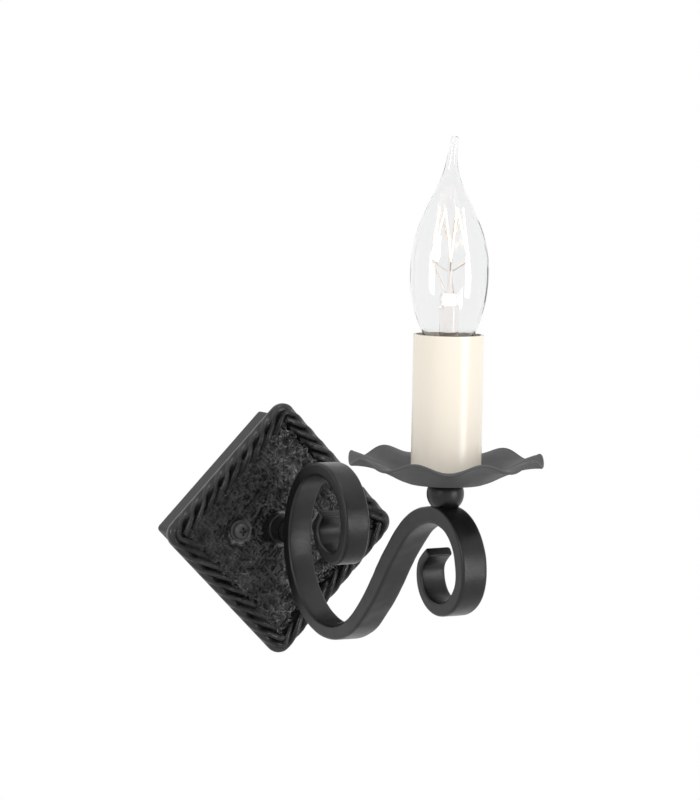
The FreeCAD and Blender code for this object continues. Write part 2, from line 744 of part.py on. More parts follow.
def holder_barrel():
    """The lampholder's upper half: a ribbed barrel round the screw shell."""
    top = BARREL_FOOT + HOLDER_BARREL_HIGH
    barrel = upright(HOLDER_R - HOLDER_RIB_HIGH, BARREL_FOOT, top)
    ribs = []
    for rib in range(HOLDER_RIBS):
        angle = 2 * math.pi * rib / HOLDER_RIBS
        spot = HOLDER_R - HOLDER_RIB_HIGH
        ribs.append(
            upright(
                HOLDER_RIB_HIGH,
                BARREL_FOOT,
                top - 2,
                CANDLE_Y + spot * math.cos(angle),
                spot * math.sin(angle),
            )
        )
    barrel = barrel.fuse(ribs).removeSplitter()
    lining = upright(SHELL_R + BLOCK_FIT, BARREL_FOOT - 1, BARREL_FOOT + SHELL_HIGH + BLOCK_FIT)
    mouth = upright(CAP_COLLAR_R + 0.5, BARREL_FOOT, top + 1)
    return barrel.cut(lining).cut(mouth)


def screw_shell():
    """The brass shell with rolled rings that the lamp's cap turns in, and its terminal leg."""
    top = BARREL_FOOT + SHELL_HIGH
    shell = upright(SHELL_R, BARREL_FOOT, top).cut(
        upright(SHELL_R - SHELL_WALL, BARREL_FOOT - 1, top + 1)
    )
    floor = upright(SHELL_R, BARREL_FOOT, BARREL_FOOT + SHELL_WALL)
    floor = floor.cut(upright(TERMINAL_SPREAD / 2, BARREL_FOOT - 1, BARREL_FOOT + 1))
    floor = floor.cut(
        upright(TERMINAL_PIN_R + 0.8, BARREL_FOOT - 1, BARREL_FOOT + 1, x=TERMINAL_SPREAD)
    )
    rings = []
    for turn in range(CAP_THREAD_TURNS):
        height = BARREL_FOOT + 4.0 + turn * CAP_THREAD_PITCH
        rings.append(
            Part.makeTorus(SHELL_R - SHELL_WALL, 0.45, Vector(0, CANDLE_Y, height), Vector(0, 0, 1))
        )
    outer = upright(SHELL_R, BARREL_FOOT, top)
    pin = upright(
        TERMINAL_PIN_R,
        BARREL_FOOT - TERMINAL_BLOCK_HIGH,
        BARREL_FOOT + SHELL_WALL,
        x=-TERMINAL_SPREAD,
    )
    return shell.fuse(floor).fuse([ring.common(outer) for ring in rings]).fuse(pin).removeSplitter()


def centre_contact():
    """The springy tongue under the lamp's centre contact, with its terminal leg."""
    floor = BARREL_FOOT + SHELL_WALL + 0.3
    half = TONGUE_WIDE / 2
    leg_x = TERMINAL_SPREAD
    tip = LAMP_SEAT
    outline = [
        Vector(leg_x, CANDLE_Y - half, floor), Vector(2.0, CANDLE_Y - half, floor),
        Vector(-1.0, CANDLE_Y - half, tip - TONGUE_THICK), Vector(
            -3.0, CANDLE_Y - half, tip - TONGUE_THICK - 0.6
        ),
    ]
    lifted = [point + Vector(0, 0, TONGUE_THICK) for point in reversed(outline)]
    tongue = Part.Face(Part.makePolygon(outline + lifted + [outline[0]])).extrude(
        Vector(0, TONGUE_WIDE, 0)
    )
    pin = upright(TERMINAL_PIN_R, BARREL_FOOT - TERMINAL_BLOCK_HIGH, floor + TONGUE_THICK, x=leg_x)
    return tongue.fuse(pin).removeSplitter()


def holder_terminals():
    """The two brass clamp blocks in the lampholder's chamber, on the legs of the contacts."""
    made = []
    top = BARREL_FOOT - HOLDER_WALL - 0.3
    foot = top - TERMINAL_BLOCK_HIGH
    for side in (-1, 1):
        x = side * TERMINAL_SPREAD
        half = TERMINAL_BLOCK_SIDE / 2
        block = Part.makeBox(
            TERMINAL_BLOCK_SIDE,
            TERMINAL_BLOCK_SIDE,
            TERMINAL_BLOCK_HIGH,
            Vector(x - half, CANDLE_Y - half, foot),
        )
        made.append(
            block.cut(
                upright(
                    TERMINAL_PIN_R + 0.05, BARREL_FOOT - TERMINAL_BLOCK_HIGH - 0.1, top + 1, x=x
                )
            )
        )
    return Part.makeCompound(made)


def lamp_cap():
    """The lamp's screw cap: thin shell with rolled thread and a flared collar."""
    thread_top = CAP_RIM - 2.5
    body = upright(CAP_R - CAP_THREAD_DEEP, CAP_FOOT, CAP_RIM)
    body = body.fuse(upright(CAP_COLLAR_R, CAP_RIM - 2.0, CAP_RIM))
    rings = []
    for turn in range(CAP_THREAD_TURNS):
        height = thread_top - 1.2 - turn * CAP_THREAD_PITCH
        rings.append(
            Part.makeTorus(
                CAP_R - CAP_THREAD_DEEP,
                CAP_THREAD_DEEP,
                Vector(0, CANDLE_Y, height),
                Vector(0, 0, 1),
            )
        )
    body = body.fuse(rings).removeSplitter()
    return body.cut(upright(CAP_R - CAP_THREAD_DEEP - CAP_WALL, CAP_FOOT - 1, CAP_RIM + 1))


def cap_insulator():
    """The black glass insulator between the cap's shell and its centre contact."""
    foot = CAP_FOOT - CAP_INSULATOR_HIGH
    return Part.makeCone(
        CAP_CONTACT_R + 0.6,
        CAP_R - CAP_THREAD_DEEP - CAP_WALL,
        CAP_INSULATOR_HIGH,
        Vector(0, CANDLE_Y, foot),
        Vector(0, 0, 1),
    )


def cap_contact():
    """The lamp's solder-domed centre contact."""
    return Part.makeCone(
        CAP_CONTACT_R - 0.8,
        CAP_CONTACT_R,
        CAP_CONTACT_HIGH,
        Vector(0, CANDLE_Y, LAMP_SEAT),
        Vector(0, 0, 1),
    )


def glass_sections(inset):
    """Level circles through the bulb, drawn in by inset, leaning over at the drawn tip."""
    lean = math.radians(TIP_LEAN_TOWARDS_DEG)
    rings = []
    for height, radius, bend in GLASS_PROFILE:
        centre = Vector(bend * math.cos(lean), CANDLE_Y + bend * math.sin(lean), CAP_RIM + height)
        rings.append(Part.Wire([Part.makeCircle(radius - inset, centre)]))
    return rings


def lamp_glass():
    """The flame-shaped bulb: thin clear glass from its neck to a drawn, bent tip."""
    outer = Part.makeLoft(glass_sections(0.0), True, False)
    hollow = Part.makeLoft(glass_sections(GLASS_WALL)[:-2], True, False)
    return outer.cut(hollow)


def lamp_stem():
    """The glass mount inside the bulb: flared tube, pinched press and the rod that carries the supports."""
    foot = CAP_RIM + STEM_FOOT_GAP
    flare_top = foot + STEM_FLARE_HIGH
    press_foot = STEM_PRESS_TOP - STEM_PINCH_HIGH
    tube = Part.makeCone(
        CAP_R - 1.6, STEM_TUBE_R, STEM_FLARE_HIGH, Vector(0, CANDLE_Y, foot), Vector(0, 0, 1)
    )
    tube = tube.fuse(upright(STEM_TUBE_R, flare_top, press_foot + STEM_PINCH_THICK / 2))
    corner = Vector(-STEM_PINCH_WIDE / 2, CANDLE_Y - STEM_PINCH_THICK / 2, press_foot)
    press = Part.makeBox(STEM_PINCH_WIDE, STEM_PINCH_THICK, STEM_PINCH_HIGH, corner)
    carrier = upright(STEM_ROD_R, press_foot, STEM_PRESS_TOP + STEM_ROD_HIGH)
    return tube.fuse(press).fuse(carrier).removeSplitter()


def filament_points():
    """The zig-zag of the filament round the stem: low and high turning points in turn."""
    points = []
    turns = 2 * FILAMENT_PEAKS
    for step in range(turns + 1):
        angle = math.radians((step / turns - 0.5) * FILAMENT_SWEEP_DEG)
        low = step % 2 == 0
        radius = FILAMENT_LOW_R if low else FILAMENT_HIGH_R
        height = CAP_RIM + (FILAMENT_LOW if low else FILAMENT_HIGH)
        points.append(Vector(radius * math.sin(angle), CANDLE_Y - radius * math.cos(angle), height))
    return points


def filament():
    """The coiled tungsten wire, hung in peaks round the stem."""
    points = filament_points()
    strand = [rod(FILAMENT_R, a, b) for a, b in zip(points, points[1:])]
    knots = [Part.makeSphere(FILAMENT_R, point) for point in points]
    return strand[0].fuse(strand[1:] + knots)


def wire_end(points, number, root, wire_r):
    """Where a wire from root to the filament's turning point stops, just clear of the strands there."""
    point = points[number]
    way_back = unit(root - point)
    beside = [points[i] - point for i in (number - 1, number + 1) if 0 <= i < len(points)]
    angle = min([math.pi / 2] + [way_back.getAngle(strand) for strand in beside])
    return point + way_back * ((FILAMENT_R + wire_r + HOOK_END_GAP) / math.sin(angle))


def filament_supports():
    """The hooks that spread from the stem's rod to the filament's turning points, just clear of both."""
    low_root = STEM_PRESS_TOP + LOW_HOOKS_RISE
    high_root = STEM_PRESS_TOP + STEM_ROD_HIGH - HIGH_HOOKS_DROP
    hooks = []
    points = filament_points()
    for number in range(1, len(points) - 1):
        way_out = unit(Vector(points[number].x, points[number].y - CANDLE_Y, 0))
        root_z = low_root if number % 2 == 0 else high_root
        root = Vector(0, CANDLE_Y, root_z) + way_out * (STEM_ROD_R + WIRE_SUPPORT_R + HOOK_ROOT_GAP)
        hooks.append(rod(WIRE_SUPPORT_R, root, wire_end(points, number, root, WIRE_SUPPORT_R)))
    return Part.makeCompound(hooks)


def lead_in_wires():
    """The two stout wires from the pinch to the filament's ends, just clear of both."""
    points = filament_points()
    made = []
    for side, number in ((-1, 0), (1, len(points) - 1)):
        foot = Vector(
            side * STEM_PINCH_WIDE / 4, CANDLE_Y, STEM_PRESS_TOP + WIRE_LEAD_R + HOOK_ROOT_GAP
        )
        made.append(rod(WIRE_LEAD_R, foot, wire_end(points, number, foot, WIRE_LEAD_R)))
    return Part.makeCompound(made)


# ---------------------------------------------------------------- wiring
def block_poles():
    """The X places of the terminal block's poles, from the earth pole to the neutral."""
    return [(pole - (BLOCK_POLES - 1) / 2) * BLOCK_PITCH for pole in range(BLOCK_POLES)]


def block_screw_heights():
    """The heights of the two rows of terminal screws."""
    middle = BLOCK_FOOT + BLOCK_HIGH / 2
    return (middle - BLOCK_SCREW_SPREAD / 2, middle + BLOCK_SCREW_SPREAD / 2)


def terminal_block():
    """The moulded strip that joins the supply to the light's own wires."""
    base = Part.makeBox(
        BLOCK_LENGTH, BLOCK_DEEP, BLOCK_HIGH, Vector(-BLOCK_LENGTH / 2, FIELD_BACK, BLOCK_FOOT)
    )
    for x in block_poles():
        base = base.cut(
            rod(
                BLOCK_TUBE_R + BLOCK_FIT,
                Vector(x, BLOCK_MID_Y, BLOCK_FOOT - 1),
                Vector(x, BLOCK_MID_Y, BLOCK_FOOT + BLOCK_HIGH + 1),
            )
        )
        for z in block_screw_heights():
            base = base.cut(outward(BLOCK_SCREW_R + 0.5, BLOCK_BACK + 1, BLOCK_MID_Y, x, z))
    for gap in range(BLOCK_POLES - 1):
        middle = (block_poles()[gap] + block_poles()[gap + 1]) / 2
        notch = Part.makeBox(
            2.0,
            BLOCK_DEEP / 2,
            BLOCK_HIGH + 2,
            Vector(middle - 1.0, BLOCK_MID_Y + 1.5, BLOCK_FOOT - 1),
        )
        base = base.cut(notch)
    return base.cut(
        outward(
            BLOCK_SCREW_R + 0.2,
            BLOCK_BACK + 1,
            FIELD_BACK - 1,
            BLOCK_PITCH / 2,
            BLOCK_FOOT + BLOCK_HIGH / 2,
        )
    )


def block_fixing_screw():
    """The small screw that holds the terminal block to the back of the cast plate."""
    z = BLOCK_FOOT + BLOCK_HIGH / 2
    x = BLOCK_PITCH / 2
    head_back = BLOCK_MID_Y + 1.5
    shank = outward(BLOCK_SCREW_R - 0.1, head_back - 0.5, FIELD_FRONT + 1.6, x, z)
    return shank


def terminal_tubes():
    """The three brass tubes inside the terminal block."""
    tubes = []
    for x in block_poles():
        foot, top = Vector(x, BLOCK_MID_Y, BLOCK_FOOT + BLOCK_TUBE_INSET), Vector(
            x, BLOCK_MID_Y, BLOCK_FOOT + BLOCK_HIGH - BLOCK_TUBE_INSET
        )
        tube = rod(BLOCK_TUBE_R, foot, top).cut(
            rod(BLOCK_TUBE_BORE, foot - Vector(0, 0, 1), top + Vector(0, 0, 1))
        )
        for z in block_screw_heights():
            tube = tube.cut(outward(BLOCK_SCREW_R + 0.05, BLOCK_BACK, BLOCK_MID_Y, x, z))
        tubes.append(tube)
    return Part.makeCompound(tubes)


def terminal_screws():
    """The six slotted screws of the terminal block."""
    made = []
    for x in block_poles():
        for z in block_screw_heights():
            screw = outward(BLOCK_SCREW_R, BLOCK_BACK - 1.2, BLOCK_MID_Y + 0.2, x, z)
            slot = Part.makeBox(
                2 * BLOCK_SCREW_R + 1,
                0.6,
                0.5,
                Vector(x - BLOCK_SCREW_R - 0.5, BLOCK_BACK - 1.8, z - 0.25),
            )
            made.append(screw.cut(slot))
    return Part.makeCompound(made)


def wire_lead(side, pole_x):
    """One insulated wire, from the terminal block through stem, hollow arm and ball to the holder."""
    x = side * LEAD_SPREAD
    start_z = BLOCK_FOOT + BLOCK_TUBE_INSET + LEAD_GRIP
    inside_box = [
        Vector(pole_x, BLOCK_MID_Y, start_z),
        Vector(pole_x, BLOCK_MID_Y, LEAD_DROP_Z),
        Vector(x, LEAD_BEND_BOX_Y, 0.0),
        Vector(x, ARM_BACK + LEAD_TURN_BEFORE_ARM, 0.0),
    ]
    curves = rounded_route(inside_box, (3.2, 4.2))
    enter, after = arm_place(LOOP_REAR)
    rear_arc = band_edge((BEND_FOOT, LOOP_REAR), 0.0, 0.0)[-1]
    low = turned_station(LOOP_REAR, arc_radius(rear_arc, True), -WIREWAY_OVERRUN_DEG)
    near_ball_arc = band_edge((FRONT_CREST, SWEEP_MIDDLE), 0.0, 0.0)[0]
    near = turned_station(FRONT_CREST, arc_radius(near_ball_arc, False), -WIREWAY_OVERRUN_DEG * 1.2)
    low_point, low_way = arm_place(low, 0.0, x)
    curves += two_arcs(inside_box[-1], Vector(0, -1, 0), low_point, low_way * -1)
    middle = band_edge((near, SWEEP_MIDDLE, BEND_FOOT, low), 0.0, 0.0, x)
    curves += [flipped(curve) for curve in reversed(middle)]
    near_point, near_way = arm_place(near, 0.0, x)
    up_start = Vector(x, CANDLE_Y, CREST_TOP + 1.6)
    curves += two_arcs(near_point, near_way * -1, up_start, Vector(0, 0, 1))
    terminal_foot = BARREL_FOOT - HOLDER_WALL - 0.3 - TERMINAL_BLOCK_HIGH
    in_holder = [
        up_start, Vector(x, CANDLE_Y, HOLDER_BASE_FOOT + 1.5), Vector(
            side * TERMINAL_SPREAD, CANDLE_Y, HOLDER_BASE_FOOT + 4.6
        ),
        Vector(side * TERMINAL_SPREAD, CANDLE_Y, terminal_foot),
    ]
    curves += rounded_route(in_holder, (1.8, 1.6))
    return swept_rod(curves, LEAD_R)


def flipped(curve):
    """The same arc or line, run the other way."""
    start, end = curve.StartPoint, curve.EndPoint
    if isinstance(curve, Part.LineSegment):
        return Part.LineSegment(end, start)
    middle = curve.value((curve.FirstParameter + curve.LastParameter) / 2)
    return Part.Arc(end, middle, start)


def earth_lead():
    """The earth wire from the terminal block to its ring on the back of the cast plate."""
    x, z = EARTH_SPOT
    ring_top = FIELD_BACK + EARTH_RING_THICK
    lying = ring_top + EARTH_R
    pole = block_poles()[0]
    route = [
        Vector(pole, BLOCK_MID_Y, BLOCK_FOOT + BLOCK_TUBE_INSET + LEAD_GRIP), Vector(
            pole, BLOCK_MID_Y, EARTH_DROP_Z
        ),
        Vector(x, BLOCK_MID_Y, EARTH_CROSS_Z),
        Vector(x, lying, EARTH_LIE_Z), Vector(x, lying, z + EARTH_RING_R - 0.5),
    ]
    return swept_rod(rounded_route(route, (3.4, 2.6, 2.6)), EARTH_R)


def earth_ring():
    """The crimped ring under the earth screw."""
    x, z = EARTH_SPOT
    top = FIELD_BACK + EARTH_RING_THICK
    ring = outward(EARTH_RING_R, top, FIELD_BACK, x, z)
    return ring.cut(outward(SCREW_R + 0.15, top + 1, FIELD_BACK - 1, x, z))


def earth_screw():
    """The earth screw in the back of the cast plate."""
    x, z = EARTH_SPOT
    top = FIELD_BACK + EARTH_RING_THICK
    head = outward(EARTH_SCREW_HEAD_R, top + EARTH_SCREW_HEAD_HIGH, top, x, z)
    slot = Part.makeBox(
        2 * EARTH_SCREW_HEAD_R + 1,
        1.5,
        0.8,
        Vector(x - EARTH_SCREW_HEAD_R - 0.5, top + EARTH_SCREW_HEAD_HIGH - 1.0, z - 0.4),
    )
    shank = outward(SCREW_TAP_R - 0.1, top, FIELD_FRONT + 1.6, x, z)
    return head.fuse(shank).removeSplitter().cut(slot)


def stem_nut():
    """The nut behind the cast plate that pulls the arm's collar up tight."""
    front = FIELD_BACK + LOCK_WASHER_THICK
    return nut(STEM_NUT_FLATS, front + STEM_NUT_THICK, front, True)


def pan_nut():
    """The nut on the stud that clamps the pan to the ball."""
    return nut(PAN_NUT_FLATS, PAN_TOP, PAN_TOP + PAN_NUT_THICK, False)


def lead(side):
    """The live wire for side -1 and the neutral wire for side 1."""
    poles = block_poles()
    return wire_lead(side, poles[1] if side < 0 else poles[2])


NODES = {
    "wall_box": wall_box,
    "cast_plate": cast_plate,
    "wall_strap": wall_strap,
    "fixing_screw_left": lambda: fixing_screw(-1),
    "fixing_screw_right": lambda: fixing_screw(1),
    "screw_washers": screw_washers,
    "stem_tube": stem_tube,
    "stem_nut": stem_nut,
    "lock_washer": lock_washer,
    "stem_rosette": stem_rosette,
    "arm_collar": arm_collar,
    "scroll_arm": scroll_arm,
    "ball": ball,
    "drip_pan": drip_pan,
    "pan_stud": pan_stud,
    "pan_nut": pan_nut,
    "candle_sleeve": candle_sleeve,
    "holder_base": holder_base,
    "holder_barrel": holder_barrel,
    "screw_shell": screw_shell,
    "centre_contact": centre_contact,
    "holder_terminals": holder_terminals,
    "lamp_cap": lamp_cap,
    "cap_insulator": cap_insulator,
    "cap_contact": cap_contact,
    "lamp_glass": lamp_glass,
    "lamp_stem": lamp_stem,
    "filament": filament,
    "filament_supports": filament_supports,
    "lead_in_wires": lead_in_wires,
    "terminal_block": terminal_block,
    "block_fixing_screw": block_fixing_screw,
    "terminal_tubes": terminal_tubes,
    "terminal_screws": terminal_screws,
    "live_wire": lambda: lead(-1),
    "neutral_wire": lambda: lead(1),
    "earth_wire": earth_lead,
    "earth_ring": earth_ring,
    "earth_screw": earth_screw,
}


def main():
    """Builds every node and writes its STEP file."""
    os.makedirs("parts", exist_ok=True)
    for name, build in NODES.items():
        shape = build()
        solids = len(shape.Solids)
        print(f"{name}: {solids} solid(s), {shape.Volume:.1f} mm3, valid {shape.isValid()}")
        shape.exportStep(f"parts/{name}.step")


main()
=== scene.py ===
"""Looks of the wrought-iron torch sconce: cast plate, forged scroll arm, waved pan, candle sleeve and flame lamp.

Everything is in metres in the part's own frame: the wall is the plane Y = 0, +Z is up and the light stands
out along -Y. New pieces are grids worked out with numpy and stand for the plain solids of the same pieces.
"""

import logging
import math
from dataclasses import dataclass, field
from enum import Enum

import bmesh
import bpy
import numpy as np
from mathutils import Matrix, Vector


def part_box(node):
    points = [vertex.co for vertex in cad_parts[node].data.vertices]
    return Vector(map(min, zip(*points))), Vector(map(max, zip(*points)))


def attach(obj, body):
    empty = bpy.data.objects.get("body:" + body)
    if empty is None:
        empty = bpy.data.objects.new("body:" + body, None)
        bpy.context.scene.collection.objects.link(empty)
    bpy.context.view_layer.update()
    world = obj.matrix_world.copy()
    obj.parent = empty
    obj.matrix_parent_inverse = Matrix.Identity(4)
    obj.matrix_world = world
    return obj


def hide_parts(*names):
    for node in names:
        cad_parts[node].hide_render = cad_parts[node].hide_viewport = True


LOG = logging.getLogger("sconce")
MM = 0.001
SKIN_ATTRIBUTE = "rough_skin"
RAISED_ATTRIBUTE = "raised"
GRAIN_GROUP = "skin_grain"
WEAR_GROUP = "edge_and_hollow"
WHITE = (1.0, 1.0, 1.0, 1.0)
WORN_GAIN, WORN_LIFT = 3.2, 0.02
DUST_KEEPS, DUST_GREY, DUST_TONE = 0.6, 0.018, (1.1, 1.0, 0.75)
BROAD_TO_FINE, PIT_TO_FINE, LUMP_TO_FINE = 0.07, 0.32, 0.16
EDGE_BEND, HOLLOW_BEND = (0.51, 0.58), (0.49, 0.42)
FLECK_FROM, DRIFT_OVER = (0.52, 0.72), (0.3, 0.7)
PLAIN_ROUGHNESS = 0.5
PLAIN_BUMP_SHARE = 0.06
Colour = tuple[float, float, float]
Place = tuple[float, float, float]
Triple = tuple[float, float, float]
Station = tuple[float, float, float, float]
Value = float | tuple[float, ...] | bpy.types.NodeSocket

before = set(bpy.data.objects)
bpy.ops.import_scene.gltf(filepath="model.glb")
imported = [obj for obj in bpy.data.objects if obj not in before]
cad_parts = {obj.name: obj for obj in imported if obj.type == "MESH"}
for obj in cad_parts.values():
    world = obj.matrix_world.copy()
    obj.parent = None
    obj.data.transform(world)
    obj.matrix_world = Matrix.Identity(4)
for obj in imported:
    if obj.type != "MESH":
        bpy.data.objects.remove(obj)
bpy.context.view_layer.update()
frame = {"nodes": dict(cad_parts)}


# ---------------------------------------------------------------- arrays and meshes
def smoothstep(low: float, high: float, value: np.ndarray) -> np.ndarray:
    """Rises from 0 at low to 1 at high with level ends: 3t^2 - 2t^3."""
    share = np.clip((value - low) / (high - low), 0.0, 1.0)
    return share * share * (3.0 - 2.0 * share)


def smooth_profile(knots: np.ndarray, per_span: int) -> np.ndarray:
    """A curve through knots: each span is a cubic whose end slopes are half the chord of its two neighbours.

    Args:
        knots: The points, one row each.
        per_span: How many points each span gives.

    Returns:
        The points along the curve, both ends included.
    """
    padded = np.vstack([2 * knots[0] - knots[1], knots, 2 * knots[-1] - knots[-2]])
    share = np.linspace(0.0, 1.0, per_span, endpoint=False)[None, :, None]
    before, start, end, after = (padded[i : len(padded) - 3 + i][:, None, :] for i in range(4))
    curve = 0.5 * (
        2 * start
        + (end - before) * share
        + (2 * before - 5 * start + 4 * end - after) * share**2
        + (3 * start - before - 3 * end + after) * share**3
    )
    return np.vstack([curve.reshape(-1, knots.shape[1]), knots[-1:]])


def full_turn(count: int) -> np.ndarray:
    """Angles spaced evenly round a circle, with the first not repeated."""
    return np.linspace(0.0, 2 * math.pi, count, endpoint=False)


def distance_along(points: np.ndarray) -> np.ndarray:
    """How far along the line through the points each of them lies."""
    return np.concatenate([[0.0], np.cumsum(np.linalg.norm(np.diff(points, axis=0), axis=1))])


def points_at(at: np.ndarray, run: np.ndarray, points: np.ndarray) -> np.ndarray:
    """The places at some distances along a line whose points lie at the distances run."""
    return np.stack([np.interp(at, run, column) for column in points.T], axis=1)


def unit_rows(vectors: np.ndarray) -> np.ndarray:
    """The vectors, each at length 1."""
    return vectors / np.linalg.norm(vectors, axis=1, keepdims=True)


def square_to(path: np.ndarray, reference: Place) -> tuple[np.ndarray, np.ndarray]:
    """Two directions square to a path and to each other: cross products with the path's own direction.

    Args:
        path: The path's points.
        reference: A direction that the path never takes.

    Returns:
        The first and the second direction at each point.
    """
    along = unit_rows(np.gradient(path, axis=0))
    first = unit_rows(np.cross(along, reference))
    return first, np.cross(along, first)


def lattice_noise(u: np.ndarray, v: np.ndarray, cell: float, seed: int) -> np.ndarray:
    """Lumps of about one cell's size: seeded random heights on a lattice, blended smoothly between its points.

    Args:
        u: First coordinate of each point, in metres.
        v: Second coordinate of each point, in metres.
        cell: Distance between the lattice's points, in metres.
        seed: Seed of the random heights.

    Returns:
        Heights between -1 and 1, in the shape of u.
    """
    heights = np.random.default_rng(seed).uniform(-1.0, 1.0, (64, 64))
    column, row = u / cell + 31.5, v / cell + 31.5
    i, j = np.floor(column).astype(int), np.floor(row).astype(int)
    a, b = smoothstep(0.0, 1.0, column - i), smoothstep(0.0, 1.0, row - j)
    corner = [heights[(i + di) % 64, (j + dj) % 64] for di, dj in ((0, 0), (1, 0), (0, 1), (1, 1))]
    return (corner[0] * (1 - a) + corner[1] * a) * (1 - b) + (corner[2] * (1 - a) + corner[3] * a) * b


@dataclass
class Shell:
    """Vertices and faces of one closed surface, how rough its skin is and how far it stands up at each vertex."""

    vertices: np.ndarray
    faces: list[list[int]]
    skin: np.ndarray | None = None
    raised: np.ndarray | None = None


def grid_shell(grid: np.ndarray, wrap_rows: bool = False, wrap_columns: bool = False, caps: bool = False) -> Shell:
    """Quads between neighbouring points of a grid.

    Args:
        grid: Points as rows by columns by 3.
        wrap_rows: Whether the last row joins the first.
        wrap_columns: Whether the last column joins the first.
        caps: Whether the first and last rows are closed by one face each.

    Returns:
        The surface.
    """
    rows, columns = grid.shape[:2]
    index = np.arange(rows * columns).reshape(rows, columns)
    if wrap_rows:
        index = np.vstack([index, index[:1]])
    if wrap_columns:
        index = np.hstack([index, index[:, :1]])
    quads = np.stack([index[:-1, :-1], index[:-1, 1:], index[1:, 1:], index[1:, :-1]], axis=-1).reshape(-1, 4)
    faces = quads.tolist()
    if caps:
        faces.append(index[0, :columns][::-1].tolist())
        faces.append(index[rows - 1, :columns].tolist())
    return Shell(grid.reshape(-1, 3), faces)


def build_piece(name: str, shells: list[Shell], body: str, sharp_deg: float = 40.0) -> bpy.types.Object:
    """Makes one piece from surfaces in place, closes its poles and turns its faces outwards.

    Args:
        name: The piece's name.
        shells: The closed surfaces it is made of, in the part's frame.
        body: The moving body it rides on.
        sharp_deg: Edges that bend more than this stay crisp.

    Returns:
        The piece.
    """
    mesh = bpy.data.meshes.new(name)
    starts = np.cumsum([0] + [len(shell.vertices) for shell in shells])
    faces = [[int(start) + i for i in face] for shell, start in zip(shells, starts) for face in shell.faces]
    mesh.from_pydata(np.vstack([shell.vertices for shell in shells]), [], faces)
    for attribute, key in ((SKIN_ATTRIBUTE, "skin"), (RAISED_ATTRIBUTE, "raised")):
        given = [getattr(shell, key) for shell in shells]
        values = [np.ones(len(shell.vertices)) if value is None else value for shell, value in zip(shells, given)]
        mesh.attributes.new(attribute, "FLOAT", "POINT").data.foreach_set("value", np.concatenate(values))
    working = bmesh.new()
    working.from_mesh(mesh)
    bmesh.ops.remove_doubles(working, verts=working.verts, dist=1e-7)
    bmesh.ops.recalc_face_normals(working, faces=working.faces)
    working.to_mesh(mesh)
    working.free()
    mesh.polygons.foreach_set("use_smooth", np.ones(len(mesh.polygons), bool))
    mesh.set_sharp_from_angle(angle=math.radians(sharp_deg))
    piece = bpy.data.objects.new(name, mesh)
    bpy.context.scene.collection.objects.link(piece)
    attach(piece, body)
    return piece


def dress(piece: bpy.types.Object, material: bpy.types.Material) -> None:
    """Gives a piece one material and no other."""
    piece.data.materials.clear()
    piece.data.materials.append(material)


def lathe(profile: np.ndarray, axis_y: float, steps: int, closed: bool) -> Shell:
    """Carries a profile of (radius, height) round an upright axis at X = 0.

    Args:
        profile: Points as rows of radius and height.
        axis_y: The axis's Y.
        steps: Points round the axis.
        closed: Whether the profile's last point joins its first.

    Returns:
        The turned surface.
    """
    angle = full_turn(steps)[None, :]
    radius, height = profile[:, :1], profile[:, 1:2]
    level = np.broadcast_to(height, (len(profile), steps))
    grid = np.stack([radius * np.sin(angle), axis_y - radius * np.cos(angle), level], axis=-1)
    return grid_shell(grid, wrap_rows=closed, wrap_columns=True)


def tube_along(path: np.ndarray, radius: float, sides: int) -> Shell:
    """A round tube along a path: rings square to it, turned so that they don't twist, with closed ends.

    Args:
        path: The centre line's points.
        radius: The tube's radius.
        sides: Points in each ring.

    Returns:
        The tube's surface.
    """
    first, second = square_to(path, (0.31, 0.17, 0.93))
    angle = full_turn(sides)[None, :, None]
    ring = np.cos(angle) * first[:, None, :] + np.sin(angle) * second[:, None, :]
    return grid_shell(path[:, None, :] + radius * ring, wrap_columns=True, caps=True)


